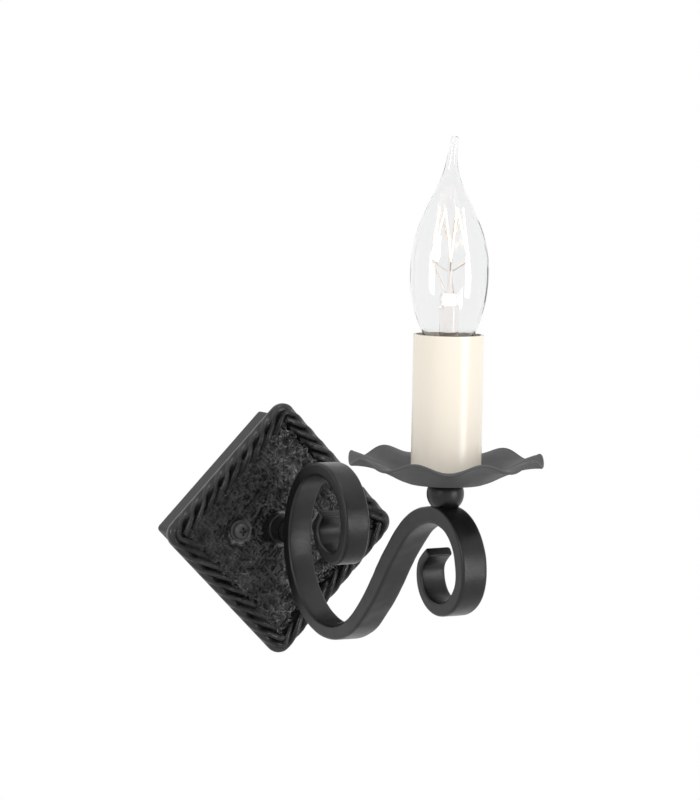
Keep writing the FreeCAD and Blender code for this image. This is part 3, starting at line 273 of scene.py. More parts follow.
# ---------------------------------------------------------------- finishes
class Graph:
    """A node tree being wired, with short calls to add nodes and links."""

    def __init__(self, tree: bpy.types.NodeTree) -> None:
        """Starts on a tree and empties it."""
        self.tree = tree
        tree.nodes.clear()

    def feed(self, node: bpy.types.Node, inputs: dict[str | int, Value]) -> None:
        """Fills a node's inputs.

        Args:
            node: The node.
            inputs: Socket name or number to a plain value or an output socket to link.
        """
        for key, value in inputs.items():
            if isinstance(value, bpy.types.NodeSocket):
                self.tree.links.new(value, node.inputs[key])
            else:
                node.inputs[key].default_value = value

    def add(self, kind: str, inputs: dict[str | int, Value] | None = None, **settings: object) -> bpy.types.Node:
        """Adds a node.

        Args:
            kind: The node's type name.
            inputs: What its inputs get, as for feed.
            **settings: The node's own properties.

        Returns:
            The node.
        """
        node = self.tree.nodes.new(kind)
        for key, value in settings.items():
            setattr(node, key, value)
        self.feed(node, inputs or {})
        return node

    def calc(self, operation: str, first: Value, second: Value, clamp: bool = False) -> bpy.types.NodeSocket:
        """The result of one operation on two values, kept within 0 to 1 where clamp says so."""
        return self.add("ShaderNodeMath", {0: first, 1: second}, operation=operation, use_clamp=clamp).outputs[0]

    def blend(self, share: Value, first: Value, second: Value) -> bpy.types.NodeSocket:
        """Two colours mixed: the first at share 0, the second at share 1."""
        return self.add("ShaderNodeMix", {"Factor": share, 6: first, 7: second}, data_type="RGBA").outputs[2]

    def ramp(self, value: Value, low: float, high: float, start: Value = 0.0, end: Value = 1.0) -> bpy.types.NodeSocket:
        """A value carried from low..high to start..end and held at both ends."""
        ends = {"Value": value, "From Min": low, "From Max": high, "To Min": start, "To Max": end}
        return self.add("ShaderNodeMapRange", ends).outputs[0]

    def noise(self, place: Value, scale: Value, detail: float, roughness: float = 0.5) -> bpy.types.NodeSocket:
        """Smooth noise over a place."""
        inputs = {"Vector": place, "Scale": scale, "Detail": detail, "Roughness": roughness}
        return self.add("ShaderNodeTexNoise", inputs).outputs["Fac"]

    def drawn(self, place: Value, share: float) -> bpy.types.NodeSocket:
        """A place whose Z counts for a share only, so that what lies over it is drawn out upwards."""
        return self.add("ShaderNodeMapping", {"Vector": place, "Scale": (1.0, 1.0, share)}).outputs[0]

    def principled(self, inputs: dict[str | int, Value]) -> None:
        """Ends the tree in one Principled shader."""
        shader = self.add("ShaderNodeBsdfPrincipled", inputs)
        self.add("ShaderNodeOutputMaterial", {"Surface": shader.outputs["BSDF"]})


def new_group(
    name: str, inputs: dict[str, tuple[str, object]], outputs: dict[str, str]
) -> tuple[Graph, dict[str, bpy.types.NodeSocket], bpy.types.Node]:
    """Starts a shared shader group with named sockets.

    Args:
        name: The group's name.
        inputs: Socket name to its type and starting value.
        outputs: Socket name to its type.

    Returns:
        The graph inside, its input sockets by name, and its output node.
    """
    tree = bpy.data.node_groups.new(name, "ShaderNodeTree")
    graph = Graph(tree)
    for socket, (kind, value) in inputs.items():
        tree.interface.new_socket(socket, in_out="INPUT", socket_type=kind).default_value = value
    for socket, kind in outputs.items():
        tree.interface.new_socket(socket, in_out="OUTPUT", socket_type=kind)
    source = graph.add("NodeGroupInput")
    return graph, {s.name: s for s in source.outputs if s.name}, graph.add("NodeGroupOutput")


def grain_group() -> bpy.types.NodeTree:
    """Fine grain of a sprayed or moulded skin: a colour that flecks, a roughness that drifts and a height.

    Returns:
        The group, with outputs Color, Roughness and Height.
    """
    if GRAIN_GROUP in bpy.data.node_groups:
        return bpy.data.node_groups[GRAIN_GROUP]
    graph, given, out = new_group(
        GRAIN_GROUP,
        {
            "Vector": ("NodeSocketVector", (0.0, 0.0, 0.0)),
            "Base": ("NodeSocketColor", WHITE),
            "Fleck": ("NodeSocketColor", WHITE),
            "Fleck Share": ("NodeSocketFloat", 0.3),
            "Scale": ("NodeSocketFloat", 1000.0),
            "Rough Low": ("NodeSocketFloat", 0.4),
            "Rough High": ("NodeSocketFloat", 0.6),
        },
        {"Color": "NodeSocketColor", "Roughness": "NodeSocketFloat", "Height": "NodeSocketFloat"},
    )
    fine = graph.noise(given["Vector"], given["Scale"], 3.0)
    broad = graph.noise(given["Vector"], graph.calc("MULTIPLY", given["Scale"], BROAD_TO_FINE), 4.0)
    spots = graph.calc("MULTIPLY", graph.ramp(fine, *FLECK_FROM), given["Fleck Share"])
    drift = graph.calc("MULTIPLY", broad, given["Fleck Share"])
    colour = graph.blend(graph.calc("ADD", spots, drift, clamp=True), given["Base"], given["Fleck"])
    rough = graph.ramp(broad, *DRIFT_OVER, given["Rough Low"], given["Rough High"])
    graph.feed(out, {"Color": colour, "Roughness": rough, "Height": fine})
    return graph.tree


def wear_group() -> bpy.types.NodeTree:
    """Wear on raised edges and dust in hollows: mixes a worn and a dusty colour in by how sharply the surface bends.

    Returns:
        The group, with output Color.
    """
    if WEAR_GROUP in bpy.data.node_groups:
        return bpy.data.node_groups[WEAR_GROUP]
    graph, given, out = new_group(
        WEAR_GROUP,
        {
            "Vector": ("NodeSocketVector", (0.0, 0.0, 0.0)),
            "Color": ("NodeSocketColor", WHITE),
            "Worn": ("NodeSocketColor", WHITE),
            "Dusty": ("NodeSocketColor", WHITE),
            "Wear": ("NodeSocketFloat", 0.3),
            "Dust": ("NodeSocketFloat", 0.2),
        },
        {"Color": "NodeSocketColor"},
    )
    bend = graph.add("ShaderNodeNewGeometry").outputs["Pointiness"]
    patchy = graph.noise(given["Vector"], 180.0, 4.0)
    colour = given["Color"]
    for bends, amount, towards in ((EDGE_BEND, "Wear", "Worn"), (HOLLOW_BEND, "Dust", "Dusty")):
        rubbed = graph.calc("MULTIPLY", graph.ramp(bend, *bends), patchy)
        colour = graph.blend(graph.calc("MULTIPLY", rubbed, given[amount], clamp=True), colour, given[towards])
    graph.feed(out, {"Color": colour})
    return graph.tree


def opaque(colour: Colour) -> tuple[float, float, float, float]:
    """A colour with full opacity."""
    return (*colour, 1.0)


class Relief(Enum):
    """How a skin's bumps are shaped."""

    SPRAYED = "sprayed"
    CAST = "cast"
    DRAWN = "drawn"


@dataclass(frozen=True)
class Finish:
    """A named finish, wired once and given again when asked again."""

    name: str

    def material(self) -> bpy.types.Material:
        """The finish's material.

        Returns:
            The material, wired when it is first asked for.
        """
        if self.name not in bpy.data.materials:
            made = bpy.data.materials.new(self.name)
            made.use_nodes = True
            graph = Graph(made.node_tree)
            self.wire(graph, graph.add("ShaderNodeTexCoord").outputs["Object"])
        return bpy.data.materials[self.name]

    def wire(self, graph: Graph, place: bpy.types.NodeSocket) -> None:
        """Wires the nodes over Object coordinates; each kind of finish has its own."""
        raise NotImplementedError


@dataclass(frozen=True)
class Skin(Finish):
    """An opaque finish: paint, plastic or metal, with grain, drifting gloss, wear and fine relief."""

    base: Colour
    fleck: Colour
    roughness: tuple[float, float] = (0.4, 0.55)
    fleck_share: float = 0.3
    grain: float = 2200.0
    height: float = 0.02 * MM
    relief: Relief = Relief.SPRAYED
    wear: float = 0.0
    dust: float = 0.0
    metallic: float = 0.0
    coat: float = 0.0
    specular: float = 0.5
    coat_roughness: float = 0.18
    plain: Colour | None = None

    def wire(self, graph: Graph, place: bpy.types.NodeSocket) -> None:
        """Wires grain and relief, then a plain second skin, wear and dust where the finish has them.

        Args:
            graph: The material's graph.
            place: Object coordinates.
        """
        grained = {
            "Vector": place, "Base": opaque(self.base), "Fleck": opaque(self.fleck), "Fleck Share": self.fleck_share,
            "Scale": self.grain, "Rough Low": self.roughness[0], "Rough High": self.roughness[1],
        }
        grain = graph.add("ShaderNodeGroup", grained, node_tree=grain_group())
        colour, rough = grain.outputs["Color"], grain.outputs["Roughness"]
        bumps, coat = self.bumps(graph, place, grain.outputs["Height"]), self.coat
        if self.plain:
            cast = graph.add("ShaderNodeAttribute", attribute_name=SKIN_ATTRIBUTE).outputs["Fac"]
            high = graph.add("ShaderNodeAttribute", attribute_name=RAISED_ATTRIBUTE).outputs["Fac"]
            colour = graph.blend(cast, opaque(self.plain), colour)
            rough = graph.add("ShaderNodeMix", {"Factor": cast, 2: PLAIN_ROUGHNESS, 3: rough}).outputs[0]
            bumps = graph.calc("MULTIPLY", graph.ramp(cast, 0.0, 1.0, PLAIN_BUMP_SHARE), bumps)
            coat = graph.calc("MULTIPLY", high, self.coat)
        if self.wear or self.dust:
            rubbed = {
                "Vector": place, "Color": colour, "Wear": self.wear, "Dust": self.dust,
                "Worn": opaque(tuple(min(1.0, WORN_GAIN * tone + WORN_LIFT) for tone in self.fleck)),
                "Dusty": opaque(tuple(
                    DUST_KEEPS * tone + DUST_GREY * dust for tone, dust in zip(self.base, DUST_TONE)
                )),
            }
            colour = graph.add("ShaderNodeGroup", rubbed, node_tree=wear_group()).outputs["Color"]
        bump = graph.add("ShaderNodeBump", {"Strength": 1.0, "Distance": self.height, "Height": bumps})
        graph.principled({
            "Base Color": colour, "Roughness": rough, "Metallic": self.metallic, "Coat Weight": coat,
            "Coat Roughness": self.coat_roughness, "Specular IOR Level": self.specular,
            "Normal": bump.outputs["Normal"],
        })

    def bumps(self, graph: Graph, place: bpy.types.NodeSocket, fine: bpy.types.NodeSocket) -> bpy.types.NodeSocket:
        """The height that the skin's relief is bumped by.

        Args:
            graph: The material's graph.
            place: Object coordinates.
            fine: The grain's own height.

        Returns:
            The socket with the height.
        """
        if self.relief is Relief.SPRAYED:
            return fine
        if self.relief is Relief.DRAWN:
            return graph.noise(graph.drawn(place, 0.08), self.grain, 2.0)
        pit_scale, lump_scale = self.grain * PIT_TO_FINE, self.grain * LUMP_TO_FINE
        pits = graph.add("ShaderNodeTexVoronoi", {"Vector": place, "Scale": pit_scale}, feature="SMOOTH_F1")
        both = graph.calc("ADD", pits.outputs["Distance"], graph.noise(place, lump_scale, 6.0, 0.65))
        return graph.calc("ADD", both, fine)


@dataclass(frozen=True)
class ClearGlass(Finish):
    """Clear thin glass with faint ripples from the blowing, tinted with painted light: grey for painted shade on the
    bulb, pink for a painted highlight colour on the stem.
    """

    tint: Colour
    ripple: float

    def wire(self, graph: Graph, place: bpy.types.NodeSocket) -> None:
        """Wires the glass: its ripples are noise drawn out upwards, as a bump.

        Args:
            graph: The material's graph.
            place: Object coordinates.
        """
        waves = graph.noise(graph.drawn(place, 0.25), 120.0, 2.0)
        bump = graph.add("ShaderNodeBump", {"Strength": 1.0, "Distance": self.ripple, "Height": waves})
        # The tint as base colour is painted light: grey gives the bulb painted shade, pink gives the stem a painted
        # highlight colour.
        graph.principled({
            "Base Color": opaque(self.tint), "Roughness": 0.0, "IOR": 1.47, "Transmission Weight": 1.0,
            "Normal": bump.outputs["Normal"],
        })


@dataclass(frozen=True)
class GlowingWire(Finish):
    """The lit filament: white-hot wire that is a little cooler in patches."""

    name: str = "lit_filament"
    hot: Colour = (1.0, 0.86, 0.64)
    cooler: Colour = (1.0, 0.72, 0.42)
    strength: float = 3.0

    def wire(self, graph: Graph, place: bpy.types.NodeSocket) -> None:
        """Wires the glow, patchy along the wire.

        Args:
            graph: The material's graph.
            place: Object coordinates.
        """
        glow = graph.blend(graph.noise(place, 150.0, 2.0), opaque(self.hot), opaque(self.cooler))
        graph.principled({
            "Base Color": opaque(self.hot), "Roughness": 0.5,
            "Emission Color": glow, "Emission Strength": self.strength,
        })


@dataclass(frozen=True)
class EarthInsulation(Finish):
    """Green insulation with a yellow stripe that winds along it."""

    name: str = "earth_insulation"
    green: Colour = (0.06, 0.3, 0.05)
    yellow: Colour = (0.75, 0.62, 0.05)

    def wire(self, graph: Graph, place: bpy.types.NodeSocket) -> None:
        """Wires the stripes: bands of a slanted wave across the wire's own space.

        Args:
            graph: The material's graph.
            place: Object coordinates.
        """
        slanted = {"Vector": place, "Scale": 90.0, "Distortion": 0.4}
        bands = graph.add("ShaderNodeTexWave", slanted, bands_direction="DIAGONAL").outputs["Fac"]
        tint = graph.blend(graph.ramp(bands, 0.45, 0.55), opaque(self.green), opaque(self.yellow))
        graph.principled({"Base Color": tint, "Roughness": 0.45})


ARM_BLACK = Skin(
    "satin_black_arm", (0.003, 0.003, 0.003), (0.012, 0.012, 0.0123), (0.28, 0.38), 0.45, 2100.0, 0.1 * MM,
    wear=0.25, dust=0.4, specular=0.38,
)
CAST_BLACK = Skin(
    "cast_black", (0.0025, 0.0025, 0.0025), (0.01, 0.01, 0.0103), (0.3, 0.45), 0.4, 1700.0, 0.8 * MM, Relief.CAST,
    wear=0.2, dust=1.0, specular=0.1, coat=1.0, coat_roughness=0.24, plain=(0.016, 0.016, 0.016),
)
BOX_BLACK = Skin(
    "box_dark_grey", (0.019, 0.019, 0.019), (0.03, 0.03, 0.03), (0.45, 0.55), 0.4, 2600.0, 0.02 * MM,
    wear=0.2, specular=0.25,
)
PAN_GREY = Skin(
    "pan_grey", (0.062, 0.063, 0.064), (0.085, 0.086, 0.088), (0.55, 0.68), 0.4, 2600.0, 0.02 * MM,
    wear=0.2, specular=0.3,
)
SCREW_BLACK = Skin(
    "blackened_screw", (0.003, 0.003, 0.003), (0.01, 0.01, 0.011), (0.1, 0.16), 0.3, 1800.0, 0.01 * MM,
    wear=0.3, specular=0.4,
)
CREAM = Skin(
    "cream_sleeve", (0.86, 0.785, 0.69), (0.9, 0.835, 0.75), (0.3, 0.42), 0.35, 900.0, 0.012 * MM, coat=0.25,
)
ZINC = Skin(
    "bright_zinc", (0.6, 0.6, 0.59), (0.72, 0.72, 0.7), (0.24, 0.4), 0.5, 1200.0, 0.006 * MM, Relief.DRAWN,
    metallic=1.0,
)
BRASS = Skin(
    "plain_brass", (0.72, 0.5, 0.2), (0.82, 0.62, 0.32), (0.2, 0.36), 0.5, 1200.0, 0.005 * MM, Relief.DRAWN,
    metallic=1.0,
)
CAP_NICKEL = Skin(
    "cap_nickel", (0.66, 0.65, 0.62), (0.76, 0.75, 0.72), (0.2, 0.34), 0.5, 1400.0, 0.005 * MM, metallic=1.0,
)
BLACK_GLASS = Skin(
    "black_vitrite", (0.012, 0.012, 0.014), (0.02, 0.02, 0.022), (0.1, 0.2), 0.3, 900.0, 0.004 * MM, coat=0.5,
)
HOLDER_BLACK = Skin("holder_black", (0.02, 0.02, 0.02), (0.034, 0.034, 0.034), (0.45, 0.6), 0.4, 2400.0, 0.015 * MM)
BLOCK_NATURAL = Skin("natural_polyamide", (0.74, 0.72, 0.66), (0.8, 0.78, 0.72), (0.4, 0.55), 0.3, 1400.0, 0.01 * MM)
BROWN_WIRE = Skin("brown_insulation", (0.14, 0.06, 0.025), (0.19, 0.09, 0.045), (0.35, 0.5), 0.3, 1500.0, 0.008 * MM)
BLUE_WIRE = Skin("blue_insulation", (0.02, 0.07, 0.36), (0.04, 0.11, 0.45), (0.35, 0.5), 0.3, 1500.0, 0.008 * MM)
DULL_WIRE = Skin(
    "bright_support_wire", (0.78, 0.7, 0.65), (0.84, 0.78, 0.74), (0.25, 0.4), 0.4, 2400.0, 0.002 * MM, metallic=1.0
)
# The bulb glass's grey tint is painted shade: it darkens the clear glass in place of shade from the surroundings.
BULB_GLASS = ClearGlass("bulb_glass_painted_grey_shade", (0.93, 0.932, 0.934), 0.3 * MM)
# The mount glass's pink tint is a painted highlight colour on the stem.
MOUNT_GLASS = ClearGlass("mount_glass_painted_pink_highlight", (0.99, 0.945, 0.925), 0.3 * MM)


# ---------------------------------------------------------------- the cast plate
@dataclass
class CastPlate:
    """The cast face with its rope edge; its sides follow the square box, on its point."""

    back_y: float = -11.0 * MM
    skirt_front_y: float = -20.6 * MM
    field_y: float = -23.6 * MM
    field_back_y: float = -16.2 * MM
    box_half: float = 40.0 * MM
    hollow_half: float = 36.0 * MM
    skirt_half: float = 45.0 * MM
    rope_half: float = 40.3 * MM
    rope_y: float = -23.0 * MM
    rope_r: float = 5.6 * MM
    rope_corner_r: float = 1.6 * MM
    strands_per_side: int = 9
    strand_slant_deg: float = 57.0
    groove_deep: float = 2.6 * MM
    edge_wave: float = 0.6 * MM
    strand_shift: float = 0.06
    strand_least: float = 0.26
    strand_gain: float = 0.26
    widens_over: tuple[float, float] = (38.0, 84.0)
    rounds_from: float = 112.0
    rounds_over: float = 26.0
    front_from: tuple[float, float] = (34.0, 66.0)
    front_to: tuple[float, float] = (176.0, 200.0)
    outer_from: tuple[float, float] = (-4.0, 24.0)
    outer_to: tuple[float, float] = (40.0, 70.0)
    cast_skin_from: tuple[float, float] = (28.0, 60.0)
    cast_skin_to: float = 300.0
    edge_gloss: float = 0.6
    spot_fade: float = 2.5 * MM
    rope_side_points: int = 268
    rope_corner_points: int = 14
    rope_round_points: int = 46
    outline_points: int = 12
    field_points: int = 200
    field_lumps: tuple[tuple[float, float], ...] = (
        (0.4 * MM, 8.5 * MM), (0.42 * MM, 3.8 * MM), (0.4 * MM, 1.9 * MM), (0.2 * MM, 1.0 * MM)
    )
    flat_spots: list[Triple] = field(
        default_factory=lambda: [(-23.0 * MM, 0.0, 6.4 * MM), (23.0 * MM, 0.0, 6.4 * MM), (0.0, 0.0, 8.6 * MM)]
    )

    def square_path(
        self, half: float, corner_r: float, per_side: int, per_corner: int
    ) -> tuple[np.ndarray, np.ndarray]:
        """A rounded square's outline and its outward directions, both as rows of (x, z), on its point.

        Each quarter is a straight run and then a quarter of a circle; it is turned a quarter turn four times.

        Args:
            half: Half the square's side.
            corner_r: The corners' radius.
            per_side: Points on each straight run.
            per_corner: Points on each corner.

        Returns:
            The outline and the directions out of it.
        """
        run = np.linspace(-(half - corner_r), half - corner_r, per_side, endpoint=False)
        turn = np.linspace(0.0, math.pi / 2, per_corner, endpoint=False)
        side = np.stack([run, np.full(per_side, half)], axis=1)
        out = np.stack([np.sin(turn), np.cos(turn)], axis=1)
        corner = (half - corner_r) + corner_r * out
        quarter = np.vstack([side, corner])
        normal = np.vstack([np.tile([0.0, 1.0], (per_side, 1)), out])
        points, normals = [], []
        for step in range(4):
            angle = -step * math.pi / 2 - math.pi / 4
            spin = np.array([[math.cos(angle), math.sin(angle)], [-math.sin(angle), math.cos(angle)]])
            points.append(quarter @ spin)
            normals.append(normal @ spin)
        return np.vstack(points), np.vstack(normals)

    def rope(self) -> Shell:
        """The rope edge: a round bead along the rounded square, with leaf-shaped strands laid slanting over it.

        A strand's section is half an ellipse: its height is the root of 1 - (d / w)^2, where d is the distance from
        the strand's middle and w its half width, both as shares of the pitch. The width grows from the outer tip
        to the round inner end, and the middle shifts with the way round the bead, which lays the strand aslant.
        All the fields that say from, to and over are in degrees round the bead, from outwards by way of the front.

        Returns:
            The rope's surface.
        """
        path, normal = self.square_path(
            self.rope_half, self.rope_corner_r, self.rope_side_points, self.rope_corner_points
        )
        step = np.linalg.norm(np.roll(path, -1, axis=0) - path, axis=1)
        run = np.concatenate([[0.0], np.cumsum(step)])[:-1][:, None]
        strands = 4 * self.strands_per_side
        pitch = step.sum() / strands
        around = full_turn(self.rope_round_points)[None, :]
        degrees = np.degrees(around)
        shift = self.rope_r * (math.pi / 2 - around) * math.tan(math.radians(self.strand_slant_deg)) / pitch
        place = run / pitch - shift
        rng = np.random.default_rng(21)
        which = np.floor(place).astype(int) % strands
        off = np.abs(place % 1.0 - 0.5 + rng.uniform(-self.strand_shift, self.strand_shift, strands)[which])
        widen = self.strand_least + self.strand_gain * smoothstep(*self.widens_over, degrees)
        past = np.clip(degrees - self.rounds_from, 0.0, self.rounds_over)
        rounding = np.sqrt(np.clip(1.0 - (past / self.rounds_over) ** 2, 0.0, 1.0))
        half_width = np.maximum(widen * rounding * rng.uniform(0.88, 1.06, strands)[which], 1e-4)
        strand = np.sqrt(np.clip(1.0 - (off / half_width) ** 2, 0.0, 1.0)) * rng.uniform(0.8, 1.0, strands)[which]
        front = smoothstep(*self.front_from, degrees) * (1.0 - smoothstep(*self.front_to, degrees))
        outer = smoothstep(*self.outer_from, degrees) * (1.0 - smoothstep(*self.outer_to, degrees))
        length = around * self.rope_r
        turns = step.sum() / 64
        lumps = 0.36 * lattice_noise(run + 0.0 * length, length + 0.0 * run, turns, 5)
        lumps += 0.18 * lattice_noise(run + 0.0 * length, length + 0.0 * run, turns / 3, 6)
        radius = self.rope_r + front * (self.groove_deep * (strand - 1.0) + lumps * MM * (0.35 + 0.65 * strand))
        radius += outer * (self.edge_wave * (np.cos(2 * math.pi * (place - 0.5)) - 1.0) + 0.3 * lumps * MM)
        radius = np.minimum(radius, self.rope_r + 0.3 * MM)
        out, forward = radius * np.cos(around), radius * np.sin(around)
        across, up = (path[:, [i]] + normal[:, [i]] * out for i in (0, 1))
        grid = np.stack([across, self.rope_y - forward, up], axis=-1)
        shell = grid_shell(grid, wrap_rows=True, wrap_columns=True)
        skin = smoothstep(*self.cast_skin_from, degrees) * (degrees < self.cast_skin_to) + 0.0 * run
        shell.skin = skin.ravel()
        glossy = skin * strand**2 * np.clip(0.75 + 0.9 * lumps, 0.0, 1.0)
        shell.raised = ((1.0 - skin) * self.edge_gloss + glossy).ravel()
        return shell

    def skirt(self) -> Shell:
        """The smooth flared side and the hollow rim behind it: one closed outline carried round the square.

        Each row of the outline is half the square's side, the depth and the corners' radius in mm.

        Returns:
            The skirt's closed surface.
        """
        outline = [
            (self.hollow_half, self.field_back_y, 0.4), (self.hollow_half, self.back_y, 0.4),
            (self.box_half, self.back_y, 2.0), (self.box_half + 1.2 * MM, self.back_y - 3.0 * MM, 2.6),
            (self.skirt_half - 1.6 * MM, self.skirt_front_y + 3.0 * MM, 4.2),
            (self.skirt_half - 0.4 * MM, self.skirt_front_y + 0.6 * MM, 5.0), (self.skirt_half, self.rope_y, 5.2),
            (self.hollow_half + 1.0 * MM, self.rope_y, 1.0),
        ]
        rings = []
        for half, depth, corner in outline:
            path, _ = self.square_path(half, corner * MM, self.outline_points, self.outline_points)
            rings.append(np.stack([path[:, 0], np.full(len(path), depth), path[:, 1]], axis=1))
        shell = grid_shell(np.stack(rings), wrap_rows=True, wrap_columns=True)
        shell.skin = np.zeros(len(shell.vertices))
        shell.raised = np.full(len(shell.vertices), self.edge_gloss)
        return shell

    def field_slab(self) -> Shell:
        """The recessed field: a square slab whose front is lumpy, and flat where screws and stem sit.

        Height is four sizes of creases, each 1 - 2|noise|, faded out near each flat spot.

        Returns:
            The slab's closed surface.

        Returns:
            The slab's closed surface.
        """
        half, count = self.hollow_half + 2.0 * MM, self.field_points
        line = np.linspace(-half, half, count)
        u, v = np.meshgrid(line, line, indexing="ij")
        turn = math.sqrt(0.5)
        x, z = (u + v) * turn, (v - u) * turn
        raised = np.zeros_like(u)
        for seed, (height, cell) in enumerate(self.field_lumps, start=1):
            raised += height * (1.0 - 2.0 * np.abs(lattice_noise(u, v, cell, seed)))
        glossy = np.clip(0.45 + 0.9 * raised / sum(height for height, _ in self.field_lumps), 0.0, 1.0)
        for spot_x, spot_z, reach in self.flat_spots:
            raised *= smoothstep(reach, reach + self.spot_fade, np.hypot(x - spot_x, z - spot_z))
        front = grid_shell(np.stack([x, self.field_y - raised, z], axis=-1))
        rim = np.arange(count)
        last, back_along = count - 1, rim[::-1]
        edge = np.concatenate([rim * count, last * count + rim[1:], back_along[1:] * count + last, back_along[1:-1]])
        rear = front.vertices[edge] * [1.0, 0.0, 1.0] + [0.0, self.field_back_y, 0.0]
        back = np.arange(len(edge)) + count * count
        sides = np.stack([edge, np.roll(edge, -1), np.roll(back, -1), back], axis=1).tolist()
        both = np.concatenate([glossy.ravel(), np.zeros(len(edge))])
        return Shell(np.vstack([front.vertices, rear]), front.faces + sides + [back.tolist()], raised=both)

    def build(self) -> bpy.types.Object:
        """Builds and dresses the casting.

        Returns:
            The piece.
        """
        shells = [self.rope(), self.skirt(), self.field_slab()]
        piece = build_piece("plate_casting", shells, "fixture", 60.0)
        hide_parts("cast_plate")
        dress(piece, CAST_BLACK.material())
        return piece


@dataclass
class PlateFittings:
    """The two domed cross-head screws with their washers, and the rosette where the stem leaves the plate."""

    field_y: float = -23.6 * MM
    washer_r: float = 5.2 * MM
    washer_thick: float = 0.9 * MM
    head_r: float = 4.2 * MM
    head_high: float = 3.3 * MM
    recess_wide: float = 2.1 * MM
    recess_slot: float = 0.5 * MM
    recess_deep: float = 1.5 * MM
    rosette_r: float = 7.4 * MM
    rosette_thick: float = 1.6 * MM
    neck_r: float = 5.5 * MM
    hole_r: float = 2.2 * MM
    thread_r: float = 1.82 * MM
    thread_deep: float = 0.14 * MM
    thread_pitch: float = 0.7 * MM
    collar_high: float = 0.7 * MM
    around: int = 96

    def turned(self, profile: np.ndarray, x: float, closed: bool) -> Shell:
        """Carries a profile of (radius, y) round an axis along Y at height 0.

        Args:
            profile: Points as rows of radius and Y.
            x: The axis's X.
            closed: Whether the profile's last point joins its first.

        Returns:
            The turned surface.
        """
        shell = lathe(profile, 0.0, self.around, closed)
        points = shell.vertices
        shell.vertices = np.stack([x + points[:, 0], points[:, 2], points[:, 1]], axis=1)
        return shell

    def screw(self, x: float, back_y: float) -> Shell:
        """A screw: threaded shank with fine ridges, and a dome head with a cross pressed into it.

        Args:
            x: The screw's X.
            back_y: Where the shank ends.

        Returns:
            The screw's surface.
        """
        seat = self.field_y - self.washer_thick
        shank = np.linspace(back_y, seat, 120)
        cut = np.abs(shank - seat) > 2 * MM
        ridges = self.thread_r + self.thread_deep * np.sin(2 * math.pi * shank / self.thread_pitch) * cut
        ridges[0] = 0.0
        dome = np.linspace(0.0, math.pi / 2, 46)
        rise = (self.head_high - self.collar_high) * np.sin(dome)
        head = np.stack([self.head_r * np.cos(dome) ** 0.85, seat - self.collar_high - rise], axis=1)
        profile = np.vstack([np.stack([ridges, shank], axis=1), [[self.head_r, seat]], head])
        shell = self.turned(profile, 0.0, closed=False)
        points = shell.vertices
        across, high = np.abs(points[:, 0]), np.abs(points[:, 2])
        wide, slot = self.recess_wide, self.recess_slot
        arms = [
            (1 - smoothstep(wide * 0.8, wide, along)) * (1 - smoothstep(slot * 0.6, slot * 1.3, aside))
            for along, aside in ((across, high), (high, across))
        ]
        on_dome = points[:, 1] < seat - 1.2 * MM
        points[:, 1] += self.recess_deep * np.maximum(*arms) * on_dome
        points[:, 0] += x
        return shell

    def ring(self, x: float, outer: float, inner: float, thick: float) -> Shell:
        """A flat ring on the field with an eased front edge.

        Args:
            x: The ring's X.
            outer: Its outer radius.
            inner: Its inner radius.
            thick: How far it stands out.

        Returns:
            The ring's surface.
        """
        turn = np.linspace(0.0, math.pi / 2, 7)
        ease = 0.4 * thick
        rim = np.stack([outer - ease + ease * np.cos(turn), self.field_y - thick + ease - ease * np.sin(turn)], axis=1)
        back = self.field_y + 0.2 * MM
        profile = np.vstack([[[inner, back], [outer, back]], rim, [[inner, self.field_y - thick]]])
        return self.turned(profile, x, closed=True)

    def build(self) -> list[bpy.types.Object]:
        """Builds and dresses the fittings.

        Returns:
            The pieces.
        """
        pieces, washers = [], []
        for name in ("fixing_screw_left", "fixing_screw_right"):
            low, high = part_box(name)
            x = (low.x + high.x) / 2
            piece = build_piece(f"dressed_{name}", [self.screw(x, high.y)], "fixture", 30.0)
            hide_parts(name)
            washers.append(self.ring(x, self.washer_r, self.hole_r, self.washer_thick))
            pieces.append(piece)
        pieces.append(build_piece("dressed_washers", washers, "fixture", 30.0))
        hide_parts("screw_washers")
        for piece in pieces:
            dress(piece, SCREW_BLACK.material())
        rosette = self.ring(0.0, self.rosette_r, self.neck_r, self.rosette_thick)
        pieces.append(build_piece("dressed_rosette", [rosette], "fixture", 30.0))
        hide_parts("stem_rosette")
        dress(pieces[-1], ARM_BLACK.material())
        return pieces


